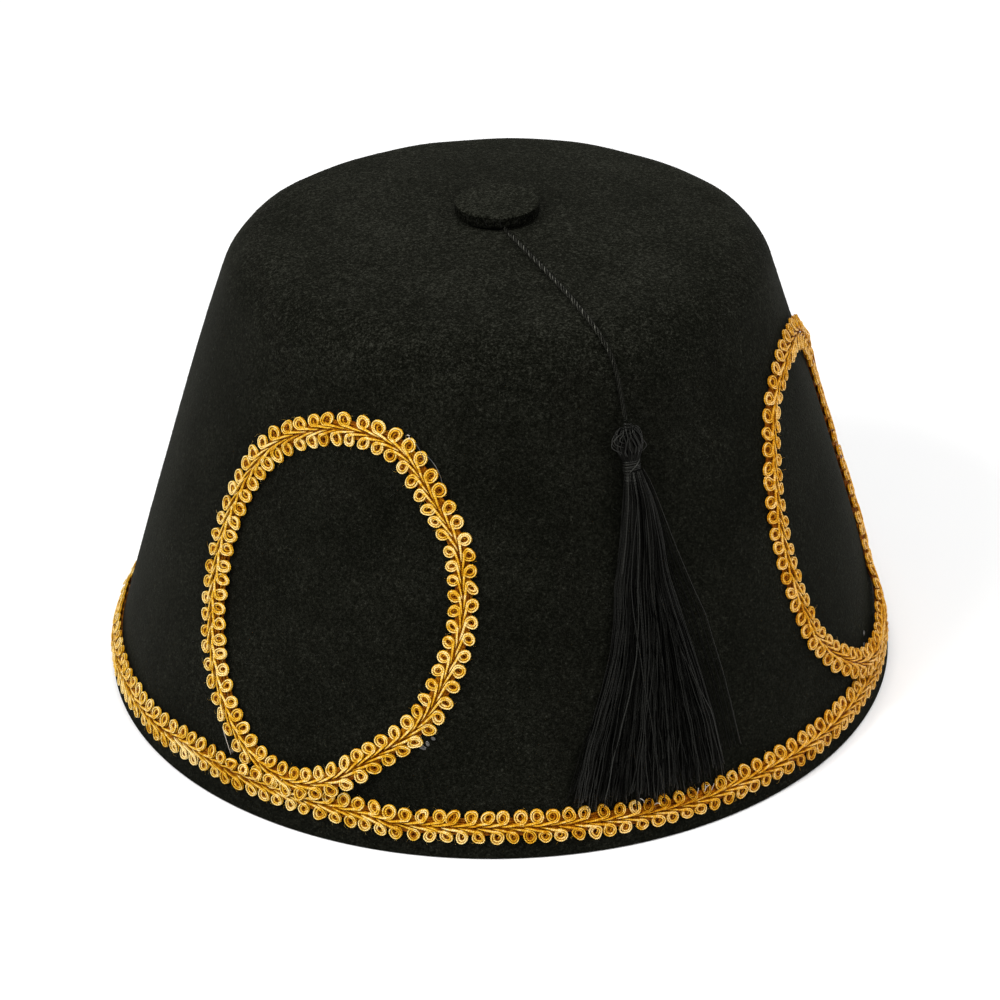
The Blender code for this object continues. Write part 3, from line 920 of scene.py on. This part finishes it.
def make_fuzz(material):
    """Fibres that lie loosely on the felt, curled and crossing each other."""
    rng = np.random.default_rng(11)
    fuzz = Strands()
    run = RUNS[-1] * rng.random(FUZZ_COUNT * 2)
    keep = rng.random(run.size) < side_at(run)[:, 0] / RIM_RADIUS
    run = run[keep][:FUZZ_COUNT, None]
    azimuth = TAU * rng.random(run.shape)
    heading = TAU * rng.random(run.shape)
    steps = np.linspace(-0.5, 0.5, 4)
    move = rng.uniform(*FUZZ_LENGTH, run.shape) * steps
    angle = heading + rng.normal(0.0, FUZZ_CURL, run.shape) * steps
    azimuth = azimuth + move * np.cos(angle) / np.maximum(side_at(run)[..., 0], FUZZ_CLEAR)
    lift = FUZZ_LIFT * rng.random(run.shape)
    lift = lift * (1.0 + 2.5 * steps * rng.normal(0.0, 1.0, run.shape))
    run = np.clip(run + move * np.sin(angle), 0.0004, RUNS[-1])
    paths = on_felt(azimuth, run, np.maximum(lift, 0.00001))
    radii = FUZZ_RADIUS * np.array((0.25, 1.0, 1.0, 0.25))
    fuzz.add(paths, radii, off_felt(azimuth, run), 3, rng.random(len(run)) ** 2)
    return fuzz.make("crown_fuzz", material)


def make_button(felt, shaded_side_felt, thread):
    """The felt button, softly domed and stitched down at its side, in felt painted paler on top
    and darker on the side, as painted light and shade.
    """
    base = SIDE[-1][1] + GAP
    top = base + BUTTON_THICKNESS
    shoulder = (BUTTON_RADIUS - BUTTON_ROUND, top - BUTTON_ROUND)
    foot = (BUTTON_RADIUS - BUTTON_ROUND, base + BUTTON_ROUND)
    flat = np.linspace(0.0, 1.0, 9)[1:-1, None]
    middle = np.array((0.0, top + BUTTON_DOME))
    rings = turned(np.concatenate((
        between(middle, np.array((shoulder[0], top)), flat),
        arc(shoulder, BUTTON_ROUND, 90.0, 0.0, 7),
        arc(foot, BUTTON_ROUND, 0.0, -90.0, 7),
    )), 128)
    points, faces = shell(rings, (0.0, 0.0, middle[1]), (0.0, 0.0, base))
    button = mesh_object("button_felt", points, faces, felt)
    button.data.materials.append(shaded_side_felt)
    # Faces below the top's edge take the darker felt of painted shade.
    for face in button.data.polygons:
        face.material_index = int(face.center.z < top - 0.4 * BUTTON_ROUND)
    rng = np.random.default_rng(5)
    stitches = Strands()
    turn = TAU * (np.arange(BUTTON_STITCHES) + rng.uniform(-0.2, 0.2, BUTTON_STITCHES))
    turn = turn[:, None] / BUTTON_STITCHES
    down = np.linspace(0.0, 1.0, 9)
    out = BUTTON_RADIUS + 0.00002 - STITCH_GRIP * (2.0 * np.abs(down - 0.5)) ** 5
    height = between(top - STITCH_TOP, base + STITCH_FOOT, down)
    slant = turn + 0.05 * (down - 0.5) * rng.normal(0.0, 1.0, turn.shape)
    paths = xyz(out * np.cos(slant), out * np.sin(slant), height)
    facing = xyz(np.cos(slant), np.sin(slant), 0.0)
    stitches.add(paths, STITCH_RADIUS, facing, 5, rng.uniform(0.0, 0.8, BUTTON_STITCHES))
    return button, stitches.make("button_stitches", thread)


# ---- braid

class Side:
    """One side (1 or -1) of a braid: the middles of its loops, and places beside them."""

    def __init__(self, ribbon, sign, middles, centre, over):
        self.ribbon, self.sign, self.centre, self.over = ribbon, sign, centre, over
        self.middles = middles[:, None]

    def place(self, length, away, above):
        """Like Ribbon.place, away on this side, and lifted over what lies below."""
        if self.over:
            above = above + self.over(self.ribbon, length, self.sign * away)
        return self.ribbon.place(length, self.sign * away, above)


def stem_path(shift):
    """The stem of a loop up to its ring, shift inside or outside its middle line."""
    x = np.linspace(0.0, 1.0, STEM_STEPS + 1)[:-1]
    end_along = RING_RADIUS * math.cos(RING_START)
    end_across = RING_RADIUS * math.sin(RING_START) * (1.0 + 0.6 * RING_POINT)
    height = between(STEM_LOW, STEM_HIGH, np.sin(np.minimum(2.4 * x, 1.0) * np.pi / 2.0))
    height = height - STEM_SINK * (shift > 0.0) * (1.0 - smooth_step(x, 0.6, 1.0))
    spread = shift * smooth_step(x, -1.2, 0.6)
    along = between(-STEM_LENGTH, end_along, x) - spread * 0.5 * x
    return along, x ** 1.35, end_across + spread * (1.0 - 0.4 * x), height


def stain(azimuth, sign):
    """How much paler the base braid's loops are than elsewhere."""
    marks = [paler * (abs(azimuth - at) < 1.2) for at, where, paler in STAINS if where == sign]
    return sum(marks)[:, None]


def add_loops(strands, side, rng, tint, left):
    """Add the loops on one side of a braid, each a little different.

    A loop is two strands that rise side by side from the middle of the braid and curl to a
    ring. The outer one goes once round, with a third strand below it, and the inner one
    further round and down inside it. left is the share of its thickness that each loop has
    left. Whole ones are filled with a thick strand from below.
    """
    count = len(side.middles)

    def vary(amount):
        return rng.normal(0.0, amount, (count, 1))

    shift, size, tall, shear = vary(0.00018), 1.0 + vary(0.06), 1.0 + vary(0.05), vary(0.13)
    shift, size = shift * (2.0 - left), size * (0.6 + 0.4 * left)
    rise, tint, fill = 1.0 + vary(0.10), tint + 0.50 + vary(0.07), vary(0.09)
    square, point = vary(0.042), vary(0.050)
    square_at, point_at = rng.uniform(0.0, 6.3, (2, count, 1))
    hole_along, hole_across = vary(0.00009) - 0.00006, vary(0.00008) - 0.00028

    def lay(turn, radius, height, strand, stem_tints, tints, stem_shift=0.0, drop=0.0, sides=5):
        """Lay a strand up the stem and through turns round the ring of each loop."""
        def joined(stem, ring):
            stem = np.broadcast_to(stem, (count, STEM_STEPS))
            return np.concatenate((stem, np.broadcast_to(ring, (count, turn.size))), -1)

        angle = RING_START + turn
        uneven = square * np.cos(2.0 * angle - square_at) + point * np.cos(3.0 * angle - point_at)
        uneven = 1.0 + uneven * smooth_step(turn, 0.0, 0.8)
        uneven = uneven + RING_POINT * np.clip(-np.sin(angle), 0.0, 1.0) ** 4
        inside = smooth_step(turn, 2.6, 5.4) * (radius < 0.8 * RING_RADIUS)
        along, share, end, above = stem_path(stem_shift)
        foot = STEM_FOOT - side.centre
        along = joined(along, radius * uneven * np.cos(angle) + hole_along * inside)
        across = radius * uneven * np.sin(angle) + hole_across * inside
        across = joined(between(foot, end, share), across)
        height = height - RING_TILT * np.sin(angle) * smooth_step(turn, 0.0, 2.0)
        above = joined(above, height) * rise - drop
        in_ring = smooth_step(along, -0.0030, -0.0012)
        length = side.middles + along * (1.0 + (size - 1.0) * in_ring) + shift
        length = length + shear * across * in_ring
        away = side.centre + across * (1.0 + (tall - 1.0) * in_ring)
        spots, up = side.place(length, away, above)
        tints = joined(np.linspace(*stem_tints, STEM_STEPS), tints) - 0.3 * (1.0 - left)
        strands.add(spots, left * joined(STEM_RADIUS, strand), up, sides, tint + tints)

    turn = np.linspace(0.0, OUTER_TURN, OUTER_STEPS)
    fall = smooth_step(turn, 0.0, 1.6)
    tuck = TUCK * smooth_step(turn, 5.3, 6.5)
    # A painted highlight: the outer strand is paler along the outer arc of its ring.
    pale = smooth_step(turn, 0.3, 1.4) - smooth_step(turn, 4.2, 6.2)
    lay(
        turn, RING_RADIUS - tuck, between(STEM_HIGH, RING_HEIGHT, fall) - tuck,
        between(STEM_RADIUS, OUTER_RADIUS, fall), (-0.02, 0.08), 0.10 + 0.10 * pale,
    )
    # The third strand below the outer one is painted darker, as the shade under it.
    lay(
        np.linspace(0.0, 6.0, 13), RING_RADIUS, RING_HEIGHT, UNDER_RADIUS, (-0.34, -0.26), -0.10,
        drop=UNDER_DROP, sides=4,
    )
    turn = np.linspace(0.0, INNER_TURN, INNER_STEPS)
    fall = smooth_step(turn, 0.0, 1.6)
    inner = smooth_step(turn, 1.5, INNER_TURN)
    # Painted shade: the inner strand darkens as it sinks into the middle of the ring; fill varies
    # it from loop to loop.
    shade = 0.03 - 0.34 * smooth_step(turn, 4.0, INNER_TURN) + fill * smooth_step(turn, 0.5, 2.0)
    lay(
        turn, between(RING_RADIUS - INNER_GAP, INNER_END, inner),
        between(STEM_HIGH, RING_HEIGHT - INNER_DROP, fall) - FUNNEL * inner,
        between(STEM_RADIUS, INNER_RADIUS, fall), (-0.12, 0.00), shade, INNER_GAP,
    )
    # The thick strand that fills each whole ring from below is painted darker, as the shade inside
    # the ring.
    turn = np.linspace(0.0, TAU, 9)
    length = side.middles + shift + PAD_TURN * np.cos(turn) * size
    spots, up = side.place(length, side.centre + PAD_TURN * np.sin(turn) * tall, PAD_HEIGHT)
    whole = left[:, 0] == 1.0
    strands.add(spots[whole], PAD_RADIUS, up[whole], 4, -0.16)


def add_core(strands, ribbon):
    """Strands that run along the middle under the stems, painted darker as the shade there."""
    length = np.linspace(0.0, ribbon.length, int(ribbon.length / CORE_STEP) + 1)
    for k, (across, height, tint, down) in enumerate(CORE):
        waver = CORE_WAVER * np.sin(TAU * length / CORE_WAVE + 2.1 * k)
        above = height - down * ribbon.raised(length)
        spots, up = ribbon.place(length, across + waver, above)
        strands.add(spots, CORE_RADIUS, up, 5, tint)


def add_hairs(strands, side, rng):
    """Fine hairs that stand out of the rims of the rings, one on each."""
    shape = side.middles.shape
    t = np.linspace(0.0, 1.0, 5)
    angle = rng.uniform(-0.6, 3.6, shape)
    reach = RING_RADIUS + rng.uniform(*HAIR_LENGTH, shape) * t
    angle = angle + rng.normal(0.0, 0.5, shape) * t ** 2
    length, away = side.middles + reach * np.cos(angle), side.centre + reach * np.sin(angle)
    above = RING_HEIGHT + rng.uniform(-0.0004, 0.0005, shape) * t
    spots, up = side.place(length, away, above)
    strands.add(spots, HAIR_RADIUS * (1.0 - 0.6 * t), up, 3, 0.6)


def make_braid(name, line, kind, centre, material, seed, over=None, worn=()):
    """A closed braid of loops along a line on the felt: its upper and its lower half."""
    rng = np.random.default_rng(seed)
    ribbon = Ribbon(line, WANDERS[kind], SWELLS[kind])
    loops = round(ribbon.length / LOOP_PITCH)
    middles = ribbon.length * np.arange(loops) / loops
    azimuth = np.degrees(ribbon.azimuth_at(middles))
    azimuth = np.mod(azimuth + 180.0, 360.0) - 180.0
    left = np.ones((2, loops, 1))
    for low, high, share in worn:
        left[0, (azimuth > low) & (azimuth < high)] = share
    halves = (Strands(), Strands())
    add_core(halves[0], ribbon)
    for k, sign in enumerate((1.0, -1.0)):
        places = middles + 0.5 * k * ribbon.length / loops
        side = Side(ribbon, sign, places, centre, over)
        add_loops(halves[k], side, rng, stain(azimuth, sign) if worn else 0.0, left[k])
        add_hairs(halves[k], side, rng)
    return halves[0].make(name, material), halves[1].make(name + "_lower", material)


def over_left_oval(ribbon, length, across):
    """How far the base braid's upper loops are lifted to lie over the left oval."""
    share = base_over(ribbon.azimuth_at(length))
    return UNDER_LIFT * share * smooth_step(across, 0.0004, 0.0018)


def over_sharp_turn(ribbon, length, across):
    """How far the right oval's outer loops stand off the felt where it turns sharply."""
    part = np.mod(length, ribbon.length) / ribbon.length
    near = 1.0 - smooth_step(np.abs(part - BULGE_AT), 0.0, BULGE_REACH)
    return BULGE_LIFT * near * smooth_step(-across, -0.0008, 0.0020)


# ---- tassel

def head_frame():
    """Top of the head, and its directions to the side, outward and down."""
    top = on_felt(TASSEL_AZIMUTH, HEAD_RUN, HEAD_LIFT)
    foot = on_felt(TASSEL_AZIMUTH, HEAD_RUN - 0.012, HEAD_LIFT - 0.0007)
    down = unit(foot - top)
    out = on_felt(TASSEL_AZIMUTH, HEAD_RUN, HEAD_LIFT + PROBE) - top
    out = unit(out - down * np.dot(out, down))
    return top, np.cross(out, down), out, down


HEAD_TOP, HEAD_SIDE, HEAD_OUT, HEAD_DOWN = head_frame()


def in_head(side, out, down):
    """Places in space of distances in the head's own directions."""
    side, out, down = np.broadcast_arrays(side, out, down)
    return (
        HEAD_TOP + side[..., None] * HEAD_SIDE + out[..., None] * HEAD_OUT
        + down[..., None] * HEAD_DOWN
    )


def round_head(radius, angle, down):
    """Places round the head or its binding, and the direction outward there."""
    cos, sin = np.cos(angle), np.sin(angle)
    facing = HEAD_SIDE * cos[..., None] + HEAD_OUT * sin[..., None]
    return in_head(radius * cos, radius * HEAD_DEPTH * sin, down), facing


def make_head(dark, shiny):
    """Threads that rise from the binding, bulge and turn in over the top."""
    rng = np.random.default_rng(21)
    depths, radii = np.array(HEAD_PROFILE).T
    pieces = []
    for name, material, share, count, thick in (
        ("tassel_head_core", dark, 0.84, HEAD_THREADS - 5, 0.00030),
        ("tassel_head", shiny, 1.0, HEAD_THREADS, 0.00014),
    ):
        head = Strands()
        turn = TAU * (np.arange(count) + rng.normal(0.0, 0.22, count))[:, None] / count
        down = np.array((0.0078, 0.0067, 0.0055, 0.0043, 0.0032, 0.0022, 0.0014, 0.0010))
        radius = np.interp(down, depths, radii)
        down = np.concatenate((down, (0.0007, 0.0007, 0.0012, 0.0022)))[None]
        radius = np.concatenate((radius, (0.0018, 0.0012, 0.0007, 0.0004)))[None]
        swell = rng.normal(0.0, 0.05, (count, 1)) * smooth_step(radius, 0.0018, 0.0028)
        radius = radius * share * (1.0 + swell)
        down = down + rng.normal(0.0, 0.00018, (count, 1)) * smooth_step(-down, -0.0040, 0.0)
        down = down + 0.0045 * (1.0 - share)
        wander = 0.17 * np.sin(down / 0.0011 + 6.0 * rng.random((count, 1)))
        angle = turn + wander * smooth_step(radius, 0.0017, 0.0028)
        paths, facing = round_head(radius, angle, down)
        head.add(paths, thick, facing, 7, rng.normal(0.45, 0.16, count))
        if material is shiny:
            add_head_loops(head)
        pieces.append(head.make(name, material))
    return pieces


def add_head_loops(head):
    """The knot on top of the head, and the threads that have come loose from its side."""
    knot = np.linspace(0.0, 2.5 * TAU, 40)
    spots = in_head(0.0008 * np.cos(knot), 0.0007 * np.sin(knot), 0.0012 - 0.00011 * knot)
    head.add(spots, 0.00020, HEAD_DOWN, 6, 0.5)
    t = np.linspace(0.0, 1.0, 14)
    for side, out, first, last, reach in HEAD_LOOPS:
        bow = side + reach * np.sin(np.pi * t) ** 0.8
        spots = in_head(bow, out + 0.0004 * np.sin(np.pi * t), between(first, last, t))
        head.add(spots, 0.00012, HEAD_OUT, 5, 0.7)


def make_binding(material):
    """Turns of thread wound round the neck of the tassel."""
    rng = np.random.default_rng(22)
    binding = Strands()
    turn = np.linspace(0.0, TAU * BINDING_TURNS, 20 * BINDING_TURNS)
    share = turn / turn[-1]
    down = between(BINDING_TOP, BINDING_FOOT, share)
    knots = np.linspace(0.0, turn[-1], BINDING_TURNS)
    slip = np.interp(turn, knots, rng.normal(0.0, 0.00007, BINDING_TURNS))
    radius = BINDING_RADIUS + 0.00018 * np.sin(np.pi * share) + 0.6 * slip
    spots, facing = round_head(radius, turn, down + slip)
    tint = np.interp(turn, knots, rng.uniform(0.2, 0.9, BINDING_TURNS))
    binding.add(spots, BINDING_THREAD, facing, 7, tint[None])
    t = np.linspace(0.0, 1.0, 14)
    cross = np.pi * (0.2 + 0.55 * t)
    down = BINDING_TOP + 0.0006 + 0.0030 * t
    spots = round_head(BINDING_RADIUS + 0.00034, cross, down)[0]
    binding.add(spots, 0.00016, HEAD_OUT, 6, 0.8)
    return binding.make("tassel_binding", material)


def skirt_azimuth(share, run):
    """Azimuth of a thread: share 0 and 1 are the skirt's edges, 2 is the last stray."""
    runs, lefts, rights = np.array(SKIRT_EDGES)[::-1].T
    left, right = np.interp(run, runs, lefts), np.interp(run, runs, rights)
    stray = np.interp(run, *np.array(STRAY_EDGE)[::-1].T)
    inner = between(left, right, np.minimum(share, 1.0))
    return np.radians(inner + (stray - right) * np.maximum(share - 1.0, 0.0))


def make_skirt(dark, shiny):
    """The fanned threads below the binding, in locks that end at the base braid."""
    rng = np.random.default_rng(23)
    count = SKIRT_THREADS

    def vary(amount, rows=count):
        return rng.normal(0.0, amount, (rows, 1))

    def some():
        return rng.random((count, 1))

    share = rng.permutation((np.arange(count) + rng.random(count)) / count)[:, None] ** 1.25
    share[:len(STRAYS), 0] = 1.0 + np.array(STRAYS)
    lock = np.minimum((share[:, 0] * SKIRT_LOCKS).astype(int), SKIRT_LOCKS - 1)
    layer = some()
    y = np.linspace(0.0, 1.0, 26)[None]
    end = SKIRT_END_RUN + 0.0024 * (2.0 * share - 1.0) ** 2 + vary(0.0012)
    run = between(SKIRT_TOP_RUN, np.minimum(end, SKIRT_END_LIMIT), y)
    drift = vary(0.035, SKIRT_LOCKS)[lock] + vary(0.065)
    bend = vary(0.030, SKIRT_LOCKS)[lock] + vary(0.055)
    room = 0.15 + 0.85 * smooth_step(np.minimum(share, 1.15 - share), 0.0, 0.2)
    swing = np.sin(np.pi * (1.4 * y + 0.8 * some()))
    crimp = y * rng.uniform(5.0, 9.0, (count, 1))
    crimp = 0.004 * np.sin(TAU * (crimp + some()))
    place = share + drift * room * smooth_step(y, 0.05, 1.0)
    place = place + bend * room * swing * smooth_step(y, 0.0, 0.2)
    azimuth = skirt_azimuth(place + crimp * smooth_step(y, 0.05, 0.25), run)
    arch = np.sqrt(np.clip(1.0 - (2.0 * np.minimum(share, 1.0) - 1.0) ** 2, 0.05, 1.0))
    thick = 0.0020 + 0.0028 * (1.0 - y) ** 1.4 * smooth_step(y, -0.05, 0.12)
    thick = thick * (0.5 + (layer - 0.5) * arch) * smooth_step(layer * arch + 0.15, 0.0, 0.5)
    lowest = GAP + THREAD_RADIUS
    lift = lowest + 0.0021 * (1.0 - y) ** 4 + thick + 0.0005 * some() * smooth_step(y, 0.6, 1.0)
    paths = on_felt(azimuth, run, np.maximum(lift, lowest))
    up = off_felt(azimuth, run)
    radius = THREAD_RADIUS * rng.uniform(0.70, 1.15, (count, 1))
    tint = np.clip(0.40 + vary(0.2), 0.0, 1.0) + 0.14 * smooth_step(y, 0.4, 1.0)
    bright = rng.random(count) < 0.10 + 0.35 * layer[:, 0]
    pieces = []
    for name, material, chosen in (
        ("tassel_skirt", dark, ~bright), ("tassel_gloss", shiny, bright),
    ):
        skirt = Strands()
        skirt.add(paths[chosen], radius[chosen], up[chosen], 5, tint[chosen])
        pieces.append(skirt.make(name, material))
    return pieces


# ---- loose threads and glue

def make_loose_threads(material):
    """Ends of sewing thread that stand out of the braid or lie beside it."""
    rng = np.random.default_rng(41)
    threads = Strands()
    t = np.linspace(0.0, 1.0, 12)
    for azimuth, run, length, lean, curl, lift, pale in LOOSE_THREADS:
        heading = math.radians(90.0 - lean) - math.radians(curl) * t
        step = length / (t.size - 1)
        along = np.cumsum(np.cos(heading)) * step
        upward = np.cumsum(np.sin(heading)) * step
        around = math.radians(azimuth) + along / side_at(run)[..., 0]
        height = LOOSE_LIFT + lift * np.sin(0.5 * np.pi * t)
        spots = on_felt(around, run + upward, height)
        radius = LOOSE_RADIUS * (1.0 - 0.5 * t ** 3) * rng.uniform(0.8, 1.1)
        threads.add(spots, radius, off_felt(around, run + upward), 6, pale)
    return threads.make("loose_threads", material)


def make_glue(material):
    """Small spots of dried glue beside the braid."""
    rng = np.random.default_rng(42)
    points, faces = [], []
    for azimuth, run, width, height in GLUE_SPOTS:
        turn = TAU * np.arange(16) / 16
        uneven = 1.0 + 0.22 * np.sin(2.0 * turn + rng.uniform(0, 6)) * rng.uniform(0.6, 1.2)
        rise = np.linspace(1.0, 0.0, 6)[:-1]
        reach = 0.5 * width * np.sqrt(1.0 - rise ** 2)[:, None] * uneven
        reach = np.concatenate((reach[1:], reach[-1:] * 0.96))
        lift = np.append(height * rise[1:], GLUE_EDGE)[:, None]
        around = math.radians(azimuth) + reach * np.cos(turn) / side_at(run)[..., 0]
        rings = on_felt(around, run + reach * np.sin(turn), lift)
        top, foot = on_felt(math.radians(azimuth), run, (height, GLUE_FOOT))
        spot, spot_faces = shell(rings, top, foot)
        faces += [[index + len(points) for index in face] for face in spot_faces]
        points += spot.tolist()
    return mesh_object("glue_spots", points, faces, material)


# ---- stage and lights

def make_floor(material):
    """A wide floor."""
    square = ((-1.0, -1.0), (1.0, -1.0), (1.0, 1.0), (-1.0, 1.0))
    corners = [(x * FLOOR_HALF, y * FLOOR_HALF, 0.0) for x, y in square]
    return mesh_object("floor", corners, [(0, 1, 2, 3)], material)


def add_light(name, place, size, power):
    """A square soft light that faces the middle of the hat."""
    light = bpy.data.lights.new(name, "AREA")
    light.shape = "SQUARE"
    light.size = size
    light.energy = power
    obj = bpy.data.objects.new(name, light)
    obj.location = place
    direction = Vector((0.0, 0.0, HAT_MIDDLE)) - Vector(place)
    obj.rotation_euler = direction.to_track_quat("-Z", "Y").to_euler()
    bpy.context.scene.collection.objects.link(obj)


def make_lights():
    """Plain soft studio light, strongest from the upper left in front."""
    world = bpy.data.worlds.new("studio")
    world.use_nodes = True
    background = world.node_tree.nodes["Background"]
    background.inputs["Color"].default_value = (1.0, 1.0, 1.0, 1.0)
    background.inputs["Strength"].default_value = WORLD_LIGHT
    bpy.context.scene.world = world
    for light in LIGHTS:
        add_light(*light)
    bpy.context.scene.view_settings.view_transform = "Standard"


# ---- the whole scene

def dress(piece, material_slot, *nodes):
    """Join a piece to the model, in place of the CAD nodes it stands for."""
    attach(piece, "root")
    if nodes:
        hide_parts(*nodes)


def main():
    make_camera()
    black = black_thread_finish("tassel_thread", 0.04, 0.8)
    shiny = black_thread_finish("shiny_thread", 0.21, 1.2)
    cord, cord_line, cord_length = make_cord(cord_finish())
    dress(cord, "black_thread", "tassel_cord")

    felt = felt_finish("felt", 1.0)
    dress(make_crown(felt), "felt", "crown")
    dress(make_fuzz(fibre_finish("felt_fibre")), "felt")
    # The button's top felt is painted paler and its side felt darker: lit and shaded copies of the
    # felt, as painted light and shade.
    button, stitches = make_button(
        felt_finish("button_felt", 1.25), felt_finish("button_side_shade", 0.55, 0.02), black,
    )
    dress(button, "felt", "button")
    dress(stitches, "black_thread")

    gold = braid_finish("gold_braid")
    base, base_lower = make_braid(
        "base_gimp", base_line, "base", BASE_CENTRE, gold, 31, over_left_oval, WORN,
    )
    dress(base, "gold_braid", "base_braid")
    dress(base_lower, "gold_braid")
    for seed, side, over in ((32, "left", None), (33, "right", over_sharp_turn)):
        line = oval_line(OVALS[side])
        oval, lower = make_braid(
            f"oval_gimp_{side}", line, side, OVAL_CENTRE, gold, seed, over,
        )
        dress(oval, "gold_braid", f"oval_braid_{side}")
        dress(lower, "gold_braid")

    head_core, head = make_head(black, shiny)
    dress(head, "black_thread", "tassel")
    dress(head_core, "black_thread")
    binding = make_binding(shiny)
    dress(binding, "black_thread")
    for skirt in make_skirt(black, shiny):
        dress(skirt, "black_thread")

    dress(make_loose_threads(pale_thread_finish()), "black_thread")
    dress(make_glue(glue_finish()), "felt")

    make_floor(floor_finish())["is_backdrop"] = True
    make_lights()
    sizes = {"cad": CAD_BOX, "visual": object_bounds()}
    sizes = {key: [list(map(float, corner)) for corner in box] for key, box in sizes.items()}


main()
